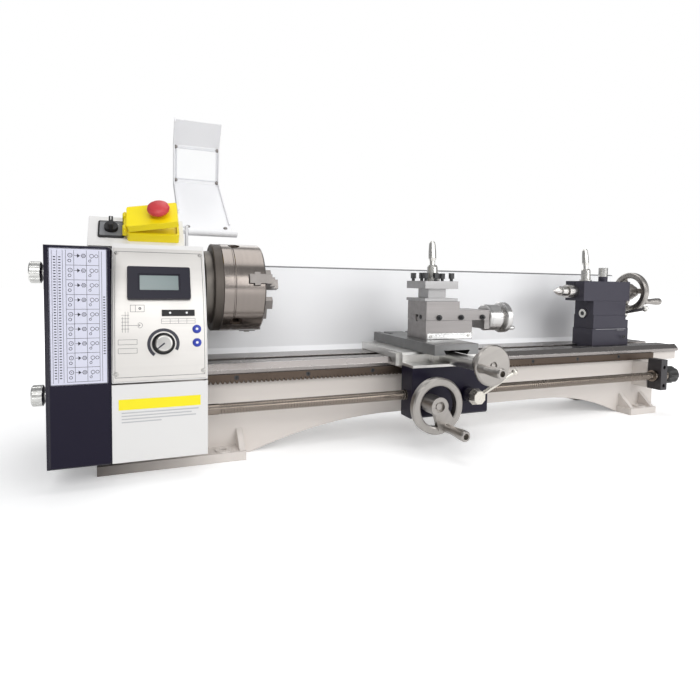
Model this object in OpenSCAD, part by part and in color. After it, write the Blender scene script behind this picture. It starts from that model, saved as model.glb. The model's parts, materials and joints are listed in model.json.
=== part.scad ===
// Small bench lathe for metal: box bed on two feet, geared headstock with a
// three-jaw chuck, carriage with cross and top slides, tailstock.
// +X runs along the bed to the tailstock, +Y to the back, +Z up. The origin is
// on the floor, in the middle of the four base bolts.

/* [Bed] */
// Distance between the left and right base bolts
bolt_span = 780; // [770:1:800]
// Distance between front and back base bolts
bolt_gap = 146; // [144:1:148]
// Radius of each base bolt hole
bolt_r = 4.5; // [3.5:0.5:5.5]
// Height of the flat ways above the floor
bed_h = 124; // [120:1:130]
// Width across the ways
bed_w = 120; // [118:1:124]
// How far the V ridge stands above the flat way
vee_up = 2; // [1:0.5:3]
// Depth of the front lip of the ways
way_lip = 11.5; // [10:0.5:13]
// Thickness of the ways
way_t = 28; // [24:1:32]
// Slot between the front and back ways
way_gap = 24; // [20:1:30]
// Setback of the casting wall behind the lip
wall_in = 6; // [4:1:8]
// Thickness of the casting wall
bed_wall = 9; // [7:0.5:12]
// Height of the arch under the bed
arch_h = 39; // [34:1:44]
// Thickness of the foot flanges
foot_t = 12; // [10:1:16]
// Width across the foot flanges
foot_w = 170; // [166:1:180]
// Overhang of the ways past the right-hand bolts
way_over = 120; // [100:1:140]
// Number of cross ribs
ribs = 8; // [7:1:10]
// Height of the rack
rack_h = 12.5; // [11:0.5:13]
// Width of the rack
rack_w = 9; // [7:0.5:10]
// Module of the rack
rack_m = 2; // [1.5:0.25:2.25]

/* [Headstock] */
// Height of the spindle above the ways
swing_r = 105; // [102:1:110]
// Distance from the left base bolts to the headstock face
head_in = 27; // [24:1:32]
// Length of the headstock
head_len = 106; // [102:1:112]
// How far the front stands before the spindle axis
front_y = 126; // [124:1:130]
// Radius of the curved front
front_r = 300; // [290:1:330]
// Height of the headstock top above the ways
head_top = 158; // [156:1:162]
// Depth of the headstock behind the spindle axis
head_back = 100; // [98:1:104]
// Thickness of the sheet covers
sheet_t = 1.5; // [1:0.25:2]
// Height of the control box
box_h = 42; // [38:1:48]
// Length of the control box
box_len = 121; // [119:1:124]
// Length of the gear cover
cover_len = 64; // [64:1:72]
// Height of the gear cover's lower edge above the floor
cover_low = 28; // [24:1:34]
// Diameter of the speed knob's skirt
knob_d = 25.6; // [22:0.2:28]

/* [Spindle and chuck] */
// Radius of the hole through the spindle
bore_r = 19; // [15:0.5:19.5]
// Radius of the spindle at its bearings
spindle_r = 25; // [24:0.5:26]
// Radius of the spindle flange
flange_r = 52; // [48:0.5:56]
// Radius of the chuck
chuck_r = 62.5; // [60:0.5:64]
// Length of the chuck body
chuck_len = 57.5; // [54:0.5:62]
// Width of each chuck jaw
jaw_w = 13; // [11:0.5:14]
// Angle of the first jaw above the front
jaw_a = 12; // [0:1:30]
// Module of the change gears
gear_m = 2; // [1.9:0.05:2]
// Radius of the spindle pulley
pulley_r = 40; // [36:0.5:40]
// Radius of the motor pulley
motor_pulley_r = 18; // [15:0.5:20]
// Radius of the motor
motor_r = 40; // [36:0.5:41]

/* [Chuck guard] */
// Width of the chuck guard
guard_w = 80; // [76:1:82]
// Length of the guard's first panel
guard_arm = 179; // [176:1:182]
// Thickness of the guard
guard_t = 2; // [1.5:0.5:3]

/* [Lead screw] */
// Radius of the lead screw
screw_r = 7; // [6.5:0.25:7.5]
// Distance of the lead screw before the spindle axis
screw_y = 98; // [97:0.5:99]
// Depth of the lead screw below the ways
screw_z = 49; // [48:0.5:50]

/* [Carriage] */
// Distance from the chuck face to the middle of the carriage
car_x = 267; // [240:1:280]
// Length of the saddle
saddle_len = 132; // [130:1:136]
// Thickness of the saddle above the ways
saddle_t = 11.5; // [11:0.5:12]
// Width of the cross slide
cross_w = 75; // [72:1:80]
// Length of the cross slide
cross_len = 207; // [204:1:212]
// Thickness of the cross slide
cross_t = 15.5; // [14:0.5:18]
// Front of the apron before the spindle axis
apron_y = 118; // [117:1:120]
// Depth of the apron from front to back
apron_d = 32; // [31:1:33]
// Height of the apron
apron_h = 78; // [76:1:82]
// Radius of the carriage handwheel
wheel_r = 40; // [36:0.5:42]
// Radius of the cross-feed wheel
cross_wheel_r = 28; // [25:0.5:30]
// Width of the compound slide
comp_w = 60; // [58:1:64]
// Side of the square tool post
post_w = 60; // [58:1:60]
// Height of the tool slots
tool_slot = 15; // [12:0.5:17]

/* [Tailstock] */
// Distance from the chuck face to the tailstock
tail_x = 622; // [600:1:640]
// Length of the tailstock's upper block
tail_len = 121; // [118:1:126]
// Width of the tailstock's upper block
tail_w = 46; // [44:1:50]
// Radius of the quill
quill_r = 12.5; // [11:0.5:14]
// How far the quill stands out
quill_out = 22; // [19:1:26]
// Radius of the tailstock handwheel
tail_wheel_r = 39; // [36:0.5:41]

/* [Hidden] */
$fn = 48;
run = 0.05;        // running clearance of a shaft
gap = 0.3;         // clearance between sliding faces
tiny = 0.02;       // joint line between fixed round pieces
xl = -bolt_span / 2;
xr = bolt_span / 2;
hb = bed_w / 2;
zb = bed_h;
zs = zb + swing_r;
hx1 = xl - head_in;             // right face of the headstock
hx0 = hx1 - head_len;           // left face of the headstock
gx1 = hx0 - 2;                  // gear cover, right edge
gx0 = gx1 - cover_len;          // gear cover, left face
nut_t = 6.5;
fl_x = hx1 + 8;                 // back of the spindle flange
fl_t = 10;
plate_x = fl_x + fl_t;
plate_t = 11.5;
chuck_x = plate_x + plate_t;
face_x = chuck_x + chuck_len;   // front face of the chuck
way_x = xr + way_over;          // right end of the ways
cast_x = way_x - 62;            // right end of the casting
yw = hb - wall_in;              // outer face of the casting wall
zu = zb - way_t;                // underside of the ways
ys = -screw_y;
zl = zb - screw_z;
cy = front_r - front_y;         // centre of the curved front
cz = zb - 4;
cyb = head_back;

// ---- helpers -------------------------------------------------------------
module bx(x0, x1, y0, y1, z0, z1) translate([x0, y0, z0]) cube([x1 - x0, y1 - y0, z1 - z0]);
module xc(x0, x1, y, z, r) translate([x0, y, z]) rotate([0, 90, 0]) cylinder(r = r, h = x1 - x0);
module yc(y0, y1, x, z, r) translate([x, y1, z]) rotate([90, 0, 0]) cylinder(r = r, h = y1 - y0);
module zc(z0, z1, x, y, r) translate([x, y, z0]) cylinder(r = r, h = z1 - z0);
module xc2(x0, x1, y, z, r0, r1) translate([x0, y, z]) rotate([0, 90, 0]) cylinder(r1 = r0, r2 = r1, h = x1 - x0);
module xext(x0, x1) translate([x0, 0, 0]) rotate([90, 0, 90]) linear_extrude(x1 - x0) children();
module yext(y0, y1) translate([0, y1, 0]) rotate([90, 0, 0]) linear_extrude(y1 - y0) children();
module xturn(x, y, z) translate([x, y, z]) rotate([0, 90, 0]) rotate_extrude($fn = 64) children();
module yturn(x, y, z) translate([x, y, z]) rotate([90, 0, 0]) rotate_extrude($fn = 64) children();
module hexx(x0, x1, y, z, af) translate([x0, y, z]) rotate([0, 90, 0]) cylinder(r = af / sqrt(3), h = x1 - x0, $fn = 6);
// a bent strip of sheet, t thick, with mitred bends
function unit(v) = v / norm(v);
function side(p, i, d) = let (u = unit(p[max(i, 1)] - p[max(i, 1) - 1]), v = unit(p[min(i, len(p) - 2) + 1] - p[min(i, len(p) - 2)]),
    n = [-u[1], u[0]], m = n + [-v[1], v[0]]) p[i] + m * d / (m * n);
module strip(p, t) polygon(concat([for (i = [0:len(p) - 1]) side(p, i, t / 2)], [for (i = [len(p) - 1:-1:0]) side(p, i, -t / 2)]));
// rounded rectangle
module rr(x, y, r) {
    translate([r, 0]) square([x - 2 * r, y]);
    translate([0, r]) square([x, y - 2 * r]);
    for (u = [r, x - r], v = [r, y - r]) translate([u, v]) circle(r);
}
// spur gear profile with its first tooth at the angle ph
module gear2(n, m, ph) {
    r = n * m / 2;
    p = 360 / n;
    polygon([for (i = [0:n - 1]) each
        [for (q = [[-0.31, -1.2], [-0.20, -0.15], [-0.10, 0.8], [0.10, 0.8], [0.20, -0.15], [0.31, -1.2]])
            (r + q[1] * m) * [cos(ph + (i + q[0]) * p), sin(ph + (i + q[0]) * p)]]]);
}
// frame on the curved front: x along the bed, s up along the curve
module on_front(x, s) {
    a = s / front_r * 180 / PI;
    translate([x, cy - front_r * cos(a), cz + front_r * sin(a)]) rotate([-a, 0, 0]) rotate([90, 0, 0]) children();
}

// ---- bed -----------------------------------------------------------------
module arch2() {
    a0 = xl + 40; a1 = a0 + 220;
    b1 = xr - 36; b0 = b1 - 181;
    ra = (220 * 220 + arch_h * arch_h) / (2 * arch_h);
    rb = (181 * 181 + arch_h * arch_h) / (2 * arch_h);
    translate([a1, -1]) square([b0 - a1, arch_h + 1]);
    intersection() {
        translate([a0 - 20, -1]) square([a1 - a0 + 21, arch_h + 1]);
        translate([a1, arch_h - ra]) circle(ra, $fn = 128);
    }
    intersection() {
        translate([b0 - 1, -1]) square([b1 - b0 + 21, arch_h + 1]);
        translate([b0, arch_h - rb]) circle(rb, $fn = 128);
    }
}
module side2() difference() {
    translate([hx0, 0]) square([cast_x - hx0, zu]);
    arch2();
}
foot_l = [xl - 152, xl + 28];
foot_r = [xr - 36, xr + 30];
// V ridge of the front way, its valley and the flat beside it
vee = [[-hb, -way_lip], [-hb, -8 + vee_up], [-hb + 8, vee_up], [-hb + 16, -8 + vee_up], [-hb + 19, -8 + vee_up], [-hb + 19, 0]];
module way2() translate([0, zb]) {
    difference() {
        polygon(concat(vee, [[-way_gap / 2, 0], [-way_gap / 2, -way_t], [-yw, -way_t], [-yw, -way_lip]]));
        // oil channel
        translate([-hb + 34, -1.2]) square([2.4, 2]);
    }
    polygon([[way_gap / 2, 0], [hb, 0], [hb, -way_lip], [yw, -way_lip], [yw, -way_t], [way_gap / 2, -way_t]]);
}
module bed() color([0.86, 0.85, 0.83]) difference() {
    union() {
        xext(hx0, way_x) way2();
        for (s = [-1, 1]) yext(s < 0 ? -yw : yw - bed_wall, s < 0 ? -yw + bed_wall : yw) side2();
        // end walls and ribs
        intersection() {
            yext(-yw + bed_wall, yw - bed_wall) side2();
            union() {
                bx(hx0, hx0 + bed_wall, -yw, yw, 0, zu);
                bx(cast_x - bed_wall, cast_x, -yw, yw, 0, zu);
                for (i = [1:ribs]) let (x = hx0 + (cast_x - hx0) * i / (ribs + 1))
                    bx(x - 4, x + 4, -yw, yw, foot_t, zu - 18);
            }
        }
        // foot flanges with raised bolt pads
        for (f = [foot_l, foot_r], s = [-1, 1])
            bx(f[0], f[1], s < 0 ? -foot_w / 2 : yw, s < 0 ? -yw : foot_w / 2, 0, foot_t);
        for (x = [xl, xr], s = [-1, 1]) zc(foot_t, foot_t + 2, x, s * bolt_gap / 2, 11);
        // gussets at the feet
        for (x = [hx0 + 6, xl - 60, xl + 20, foot_r[0] + 4, xr + 20], s = [-1, 1])
            xext(x, x + 8) scale([s, 1]) polygon([[yw, foot_t], [foot_w / 2 - 3, foot_t], [yw, cover_low + 8]]);
        // pad under the lead screw bracket
        bx(br_x0 - 3, br_x1 + 3, ys + brk_w / 2 - 1 + gap, -yw, zl - 24, rack_z - rack_h - 3);
        bx(hx0 + 2, hx0 + 52, -yw - 8, -yw, zl - 24, zb - way_lip - 2);
    }
    for (x = [xl, xr], s = [-1, 1]) zc(-1, foot_t + 3, x, s * bolt_gap / 2, bolt_r);
}
rack_x0 = hx1 + 6;
rack_x1 = cast_x - 12;
rack_z = zb - way_lip - 0.3;
rack_y = -yw;
rack_n = floor((rack_x1 - rack_x0) / (PI * rack_m)) - 1;
rack_at = [for (i = [0:7]) rack_x0 + 40 + (rack_x1 - rack_x0 - 133) * i / 7];
module rack() color([0.42, 0.40, 0.38]) difference() {
    yext(rack_y - rack_w, rack_y) polygon(concat(
        [[rack_x0, rack_z], [rack_x0, rack_z - rack_h]],
        [for (i = [0:rack_n - 1]) each let (p = PI * rack_m, x = rack_x0 + p * (i + 0.6), b = rack_z - rack_h)
            [[x, b], [x + 0.26 * p, b + 1.9 * rack_m], [x + 0.40 * p, b + 1.9 * rack_m], [x + 0.66 * p, b]]],
        [[rack_x1, rack_z - rack_h], [rack_x1, rack_z]]));
    for (x = rack_at) {
        yc(rack_y - rack_w - 1, rack_y + 1, x, rack_z - 4.6, 1.9);
        yc(rack_y - rack_w - 1, rack_y - rack_w + 3.5, x, rack_z - 4.6, 3.3);
    }
}
module rack_screws() color([0.16, 0.16, 0.17]) for (x = rack_at) difference() {
    union() {
        yc(rack_y - rack_w + 0.3, rack_y - rack_w + 3.5, x, rack_z - 4.6, 3.1);
        yc(rack_y - rack_w + 3.4, rack_y, x, rack_z - 4.6, 1.9 - tiny);
    }
    translate([x, rack_y - rack_w + 2.3, rack_z - 4.6]) rotate([90, 0, 0]) cylinder(r = 1.6, h = 3, $fn = 6);
}
sg_x1 = way_x - 8;
module splash_guard() color([0.88, 0.88, 0.90]) {
    xext(hx1 + 4, sg_x1) translate([0, zb]) strip([[yw + sheet_t / 2, -60], [yw + sheet_t / 2, -34],
        [head_back - 2, 4], [head_back - 2, 140], [head_back + 4, 141]], sheet_t);
    // screws into the back of the bed
    for (i = [0:5]) let (x = hx1 + 60 + (sg_x1 - hx1 - 120) * i / 5) yc(yw + sheet_t, yw + sheet_t + 3, x, zb - 46, 4.5);
}

// ---- headstock -------------------------------------------------------------
hy = 56;              // half width of the headstock casting
hz = zs + 44;         // top of the headstock casting
brg_r = spindle_r + 11;
brg_t = 19;
module headstock() color([0.80, 0.80, 0.80]) difference() {
    union() {
        xext(hx0, hx1 - sheet_t - 1) difference() {
            translate([-hy, zb]) square([2 * hy, hz - zb]);
            translate([-hy - 1, zb - 1]) square([hy - (hb - 20) + 1, vee_up + 1.5]);
            for (s = [-1, 1]) translate([s * hy, hz]) rotate(45) square(18, center = true);
        }
        // motor plate
        bx(hx0, hx0 + 8, hy, 158, zb - 92, zb + 12);
        bx(hx0, hx0 + 60, yw, hy + 22, zb + 4, zb + 12);
    }
    xc(hx0 - 1, hx1, 0, zs, brg_r);
    xc(hx0 - 1, hx0 + 9, mot_y, mot_z, 20);
    // motor plate clears the bed
    bx(hx0 - 1, hx0 + 70, hy - 1, hb + gap, 0, zb + 0.01);
}
module ring(x0, x1, y, z, ri, ro) difference() {
    xc(x0, x1, y, z, ro);
    xc(x0 - 1, x1 + 1, y, z, ri);
}
module spindle_bearings() color([0.70, 0.70, 0.72])
    for (x = [hx0 + 2, hx1 - sheet_t - 1 - brg_t]) {
        ring(x, x + brg_t, 0, zs, spindle_r + run, spindle_r + 4);
        ring(x, x + brg_t, 0, zs, brg_r - 3.5, brg_r - tiny);
        ring(x + 4, x + brg_t - 4, 0, zs, spindle_r + 4, brg_r - 3.5);
    }
module front2(r, top, back) intersection() {
    translate([cy, cz]) circle(r, $fn = 192);
    translate([cy - r - 1, cz]) square([back - cy + r + 1, zb + top - cz]);
}
module head_cover() color([0.92, 0.92, 0.92]) difference() {
    xext(hx0, hx1) front2(front_r, head_top, cyb);
    xext(hx0 - 1, hx1 - sheet_t) difference() {
        front2(front_r - sheet_t, head_top - sheet_t, cyb - sheet_t);
        translate([-400, cz - 1]) square([1000, 1]);
    }
    bx(hx0 - 1, hx1 - sheet_t, cy - front_r + 6, cyb - sheet_t, cz - 1, cz + 20);
    // seat over the ways and clearance for the nose and the motor
    bx(hx0 - 1, hx1 + 1, -hb - 1, hb + 1, cz - 1, zb + vee_up + 1);
    bx(hx0 - 1, hx1 + 1, hb, cyb + 1, cz - 1, zb + 13);
    xc(hx1 - 3, hx1 + 1, 0, zs, spindle_r + 5);
    on_front(pan_x0 + pan_kx, pan_ks) translate([0, 0, -6]) cylinder(r = knob_shaft + gap, h = 8);
}
pan_h = 160;          // length of the control panel along the curve
pan_x0 = hx0 + 1.5;
pan_x1 = hx1 - 1.5;
module control_panel() color([0.80, 0.79, 0.78]) difference() {
    xext(pan_x0, pan_x1) intersection() {
        difference() {
            translate([cy, cz]) circle(front_r + 1, $fn = 192);
            translate([cy, cz]) circle(front_r + 5 * tiny, $fn = 192);
        }
        translate([cy - front_r - 2, cz + 2]) square([100, pan_h * 0.967]);
    }
    on_front(pan_x0 + pan_kx, pan_ks) translate([0, 0, -3]) cylinder(r = knob_shaft + gap, h = 8);
}
knob_shaft = 3.5;
pan_kx = 54.3;        // speed knob from the panel's left edge
pan_ks = 44;          // speed knob up along the curve
pan_scr = [[3.4, 10.5], [3.4, 157], [99.5, 10.5], [99.5, 157]];
module panel_screws() color([0.70, 0.70, 0.70]) for (p = pan_scr) on_front(pan_x0 + p[0], p[1]) difference() {
    translate([0, 0, 1 + tiny]) cylinder(r1 = 2.6, r2 = 2, h = 1.2);
    translate([-2, -0.3, 1.6]) cube([4, 0.6, 2]);
    translate([-0.3, -2, 1.6]) cube([0.6, 4, 2]);
}
dis_x = 50.6;         // middle of the display from the panel's left edge
dis_s = 116.6;
dis_w = 71;
dis_h = 41;
module display() color([0.10, 0.10, 0.14]) on_front(pan_x0 + dis_x, dis_s) difference() {
    translate([-dis_w / 2, -dis_h / 2, 0.85]) linear_extrude(4.6) rr(dis_w, dis_h, 2);
    // the underside follows the panel
    rotate([0, 90, 0]) translate([front_r, 0, -dis_w]) cylinder(r = front_r + 1 + tiny, h = 2 * dis_w, $fn = 192);
    // recess of the sight window
    translate([-23.5, -11, 4.2]) cube([47, 22, 5]);
}
low_y = front_y + 2;
module lower_cover() color([0.93, 0.93, 0.93]) difference() {
    union() {
        bx(hx0, hx1, -low_y, -foot_w / 2 + 20, cover_low, cz - 1.5);
        // side walls reach back to the bed
        for (x = [hx0, hx1 - sheet_t]) bx(x, x + sheet_t, -foot_w / 2 + 15, -yw - gap, cover_low + 10, rack_z - rack_h);
    }
    bx(hx0 - 1, hx1 - sheet_t, -low_y + sheet_t, -foot_w / 2 + 21, cover_low + sheet_t, cz);
    xc(hx1 - 3, hx1 + 1, ys, zl, screw_r + 3);
    bx(hx1 - 3, hx1 + 1, ys - screw_r - 3, -40, zl - screw_r - 3, cz);
}
cbx0 = hx1 - 17 - box_len;
gd_y = 80;            // guard hinge axis
gd_z = zb + 190;
cb_y1 = gd_y - 14.3;  // back of the control box, before the guard's hinge
module control_box() color([0.93, 0.93, 0.93]) xext(cbx0, cbx0 + box_len) translate([0, zb + head_top])
    polygon([[-15, 0], [-15 + 0.95 * box_h, box_h], [cb_y1, box_h], [cb_y1, 0]]);
// frame on the sloped face of the control box: u along the bed, v up the slope
slope = atan2(box_h, 0.95 * box_h);
module on_slope(u, v) translate([cbx0 + u, -15, zb + head_top]) rotate([slope, 0, 0]) translate([0, v, 0]) children();
sw = [28, 32];        // middle of the switch on the sloped face
module switch_plate() color([0.55, 0.56, 0.58]) on_slope(sw[0], sw[1]) difference() {
    translate([-14.5, -14.5, 0]) linear_extrude(2.5) rr(29, 29, 2);
    translate([0, 0, -1]) cylinder(r = 3 + run, h = 5);
}
module switch_knob() color([0.09, 0.09, 0.10]) on_slope(sw[0], sw[1]) {
    translate([0, 0, 2.5 + gap]) cylinder(r = 8.5, h = 5);
    translate([-2.6, -8.4, 5]) cube([5.2, 16.8, 12]);
    translate([0, 0, 0.2]) cylinder(r = 3, h = 4);
}
es = [81, 31];        // middle of the emergency stop on the sloped face
lid_a = 12;
es_w = 66;            // length and height of the box
es_h = 14;
lid_u = -es_w / 2 - 2.9; // hinge line of the lid
lid_z = es_h + 2;
module estop_box() color([0.96, 0.84, 0.05]) on_slope(es[0], es[1]) {
    difference() {
        translate([-es_w / 2, -20, 0]) linear_extrude(es_h) rr(es_w, 40, 3);
        translate([-es_w / 2 + 3, -17, es_h - 5]) linear_extrude(20) rr(es_w - 6, 34, 2);
    }
    // hinge ears on the left edge
    for (v = [-16, 8]) translate([lid_u, v, lid_z]) difference() {
        union() {
            rotate([-90, 0, 0]) cylinder(r = 3, h = 8);
            translate([-3, 0, -10]) cube([6, 8, 10]);
        }
        translate([0, -1, 0]) rotate([-90, 0, 0]) cylinder(r = 1.5 + run, h = 10);
    }
}
module estop_lid() color([0.96, 0.84, 0.05]) on_slope(es[0], es[1]) translate([lid_u, 0, lid_z]) rotate([0, -lid_a, 0]) {
    difference() {
        union() {
            translate([3.8, -20, -1.2]) linear_extrude(9.8) rr(es_w - 1, 40, 3);
            translate([0, -7.6, -1.4]) cube([6, 15.2, 2.8]);
            translate([0, -19, 0]) rotate([-90, 0, 0]) cylinder(r = 1.5, h = 38, $fn = 24);
        }
        translate([6.8, -17, -2.4]) linear_extrude(8.4) rr(es_w - 7, 34, 2);
        translate([lid_b, 0, 0]) cylinder(r = 5 + gap, h = 12);
    }
}
lid_b = 46;           // button from the hinge line
module estop_button() color([0.80, 0.16, 0.18]) on_slope(es[0], es[1]) translate([lid_u, 0, lid_z]) rotate([0, -lid_a, 0])
    translate([lid_b, 0, 0]) {
        translate([0, 0, 0]) cylinder(r = 5, h = 15);
        translate([0, 0, 13.4]) rotate_extrude() polygon([[0, 0], [12, 0], [13.8, 1.4], [14.5, 4], [13.4, 7], [10, 9.2], [5, 10.4], [0, 10.8]]);
    }
module speed_knob() on_front(pan_x0 + pan_kx, pan_ks) {
    color([0.08, 0.08, 0.09]) translate([0, 0, 1.3]) rotate_extrude() polygon([[0, 0], [knob_d / 2, 0], [knob_d / 2, 2],
        [knob_d / 2 - 2.4, 4], [knob_d / 2 - 3.2, 13], [0, 13]]);
    color([0.75, 0.75, 0.76]) translate([0, 0, 14.2]) cylinder(r1 = 9, r2 = 8.4, h = 1.6);
    color([0.08, 0.08, 0.09]) translate([0, 0, -4]) cylinder(r = knob_shaft, h = 7);
}

// ---- chuck guard -------------------------------------------------------------
gd_x0 = hx1 - 17 + 0.7;
gd_x1 = gd_x0 + guard_w;
gd_a = 34.3;
g1 = [gd_y + guard_arm * cos(gd_a), gd_z + guard_arm * sin(gd_a)];
g2 = g1 + [-6, 66];
g3 = g2 + [-28, 36];
g0 = [gd_y, gd_z] + 8 * [cos(gd_a), sin(gd_a)];
win = [6, guard_w - 6];
module guard_hinge() color([0.55, 0.55, 0.57]) {
    // upright on the control box side and the pin
    bx(gd_x0 - 8 + gap, gd_x0 + 12, gd_y - 14, gd_y + 14, zb + head_top, zb + head_top + 3);
    for (x = [gd_x0 - 4, gd_x0 + 8]) bx(x, x + 4 - gap, gd_y - 9, gd_y + 9, zb + head_top, gd_z + 9);
    xc(gd_x0 - 6, gd_x1 + 8, gd_y, gd_z, 3.2);
}
module guard() color([0.80, 0.80, 0.82]) difference() {
    union() {
        xext(gd_x0, gd_x1) strip([g0, g1, g2, g3], guard_t);
        // tube on the pin
        xc(gd_x0 + 12 + gap, gd_x1 + 7, gd_y, gd_z, 5.5);
        xext(gd_x0 + 12 + gap, gd_x1) strip([[gd_y, gd_z] + 4.5 * [cos(gd_a), sin(gd_a)], g0 + 8 * [cos(gd_a), sin(gd_a)]], guard_t);
        // stiffening flanges on the edges
        xext(gd_x0, gd_x0 + guard_t) strip([g0 + 0.3 * (g1 - g0), g1, g2, g3], 14);
        xext(gd_x1 - guard_t, gd_x1) strip([g0 + 0.1 * (g1 - g0), g1, g2], 8);
    }
    xc(gd_x0 - 1, gd_x1 + 8, gd_y, gd_z, 3.2 + run);
    // hinge uprights' room
    bx(gd_x0 - 9, gd_x0 + 12 + gap, gd_y - 12, gd_y + 12, gd_z - 12, gd_z + 12);
    // sight window
    xext(gd_x0 + win[0], gd_x0 + win[1]) strip([g1 + 0.12 * (g2 - g1), g1 + 0.9 * (g2 - g1)], 3 * guard_t);
}
module guard_window() color([0.75, 0.80, 0.84, 0.4])
    xext(gd_x0 + guard_t + gap, gd_x1 - guard_t - gap) {
        d = (g2 - g1) / norm(g2 - g1);
        n = [-d[1], d[0]];
        translate(g1 + 6 * d + (guard_t / 2 + 0.8) * n) rotate(atan2(d[1], d[0])) translate([0, -0.75]) square([norm(g2 - g1) - 8, 1.5]);
    }

// ---- drive -------------------------------------------------------------------
mot_y = yw + 12 + motor_r;
mot_z = zb - 46;
mot_x1 = hx0 + 150;
module motor() color([0.16, 0.16, 0.17]) difference() {
    union() {
        xc(hx0 + 8, hx0 + 20, mot_y, mot_z, motor_r);
        xturn(hx0 + 20, mot_y, mot_z) polygon(concat([[0, -1], [motor_r - 4, -1]],
            [for (i = [0:11]) each [[motor_r, i * 8 + 0.1], [motor_r, i * 8 + 4], [motor_r - 4, i * 8 + 4], [motor_r - 4, i * 8 + 8]]],
            [[motor_r - 4, 96], [0, 96]]));
        xc(hx0 + 116, mot_x1 - 6, mot_y, mot_z, motor_r);
        xc2(mot_x1 - 6, mot_x1, mot_y, mot_z, motor_r, motor_r - 6);
        // terminal box
        bx(hx0 + 50, hx0 + 100, mot_y - 20, mot_y + 20, mot_z, mot_z + motor_r + 8);
    }
    xc(hx0 - 1, hx0 + 30, mot_y, mot_z, 7 + run);
}
belt_x0 = hx0 - 26;
belt_w = 16;
module pulley2(r) polygon(concat([[0, 0], [r + 2.2, 0], [r + 2.2, 1]],
    [[r, 1.2]], [for (i = [0:5]) each [[r, 1.5 + i * 2.6], [r - 1.4, 2.8 + i * 2.6]]],
    [[r, 17.1], [r + 2.2, 17.4], [r + 2.2, 18.4], [0, 18.4]]));
module motor_pulley() color([0.72, 0.72, 0.73]) {
    xturn(belt_x0 - 1.2, mot_y, mot_z) pulley2(motor_pulley_r);
    xc(belt_x0 + 17, hx0 + 28, mot_y, mot_z, 7);
}
// the belt's outline round both pulleys, grown by o
bd = [mot_y, mot_z - zs];
ba = atan2(bd[1], bd[0]);
function loop_pts(o) = let (ra = pulley_r + o, rb = motor_pulley_r + o, b = acos((ra - rb) / norm(bd)))
    concat([for (i = [0:48]) let (t = ba + b + i * (180 - b) / 24) [0, zs] + ra * [cos(t), sin(t)]],
        [for (i = [0:32]) let (t = ba - b + i * b / 16) [mot_y, mot_z] + rb * [cos(t), sin(t)]]);
module drive_belt() color([0.07, 0.07, 0.07]) xext(belt_x0 + gap, belt_x0 + belt_w - gap) difference() {
    polygon(loop_pts(gap + 2.6));
    polygon(loop_pts(gap));
}
// change gears: spindle, idler and lead screw
n1 = 30;
n2 = 66;
n3 = 24;
ga = gear_m * (n1 + n2) / 2;
gb = gear_m * (n2 + n3) / 2;
gd = norm([ys, zl - zs]);
gdir = atan2(zl - zs, ys);
gin = acos((ga * ga + gd * gd - gb * gb) / (2 * ga * gd));
gi = [0, zs] + ga * [cos(gdir + gin), sin(gdir + gin)];
ph1 = gdir + gin;
ph2 = ph1 + 180 + 180 / n2;
ang2 = atan2(zl - gi[1], ys - gi[0]);
off2 = (ang2 - ph2) / (360 / n2);
del2 = (off2 - round(off2)) * 360 / n2;
ph3 = ang2 + 180 + del2 * n2 / n3 + 180 / n3;
gear_x = belt_x0 - 26;
gear_t = 12;
module feed_bearing() color([0.30, 0.30, 0.32]) {
    difference() {
        union() {
            bx(hx0 + 6, hx0 + 46, ys - 14, -yw - 8, zl - 18, zl + 18);
            xc(gear_x + gear_t + 7, hx0 + 6, ys, zl, 12.5);
            // arm that carries the idler's stud
            xext(gear_x + gear_t + 1.5, gear_x + gear_t + 7) {
                translate([ys, zl]) circle(16);
                translate(gi) circle(14);
                translate([ys, zl]) rotate(atan2(gi[1] - zl, gi[0] - ys)) translate([0, -10]) square([norm(gi - [ys, zl]), 20]);
            }
            xc(gear_x - 3, gear_x + gear_t + 3, gi[0], gi[1], 8);
        }
        xc(gear_x - 10, hx0 + 50, ys, zl, screw_r + run);
    }
    // keeper on the stud
    xc(gear_x - 5, gear_x - gap, gi[0], gi[1], 12);
}
module idler_gear() color([0.62, 0.61, 0.58]) difference() {
    union() {
        translate([0, gi[0], gi[1]]) xext(gear_x + 2, gear_x + gear_t - 2) gear2(n2, gear_m, ph2);
        xc(gear_x, gear_x + gear_t, gi[0], gi[1], 16);
    }
    xc(gear_x - 5, gear_x + 30, gi[0], gi[1], 8 + run);
    for (k = [0:5]) xc(gear_x - 1, gear_x + 20, gi[0] + 38 * cos(60 * k), gi[1] + 38 * sin(60 * k), 11);
}

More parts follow.
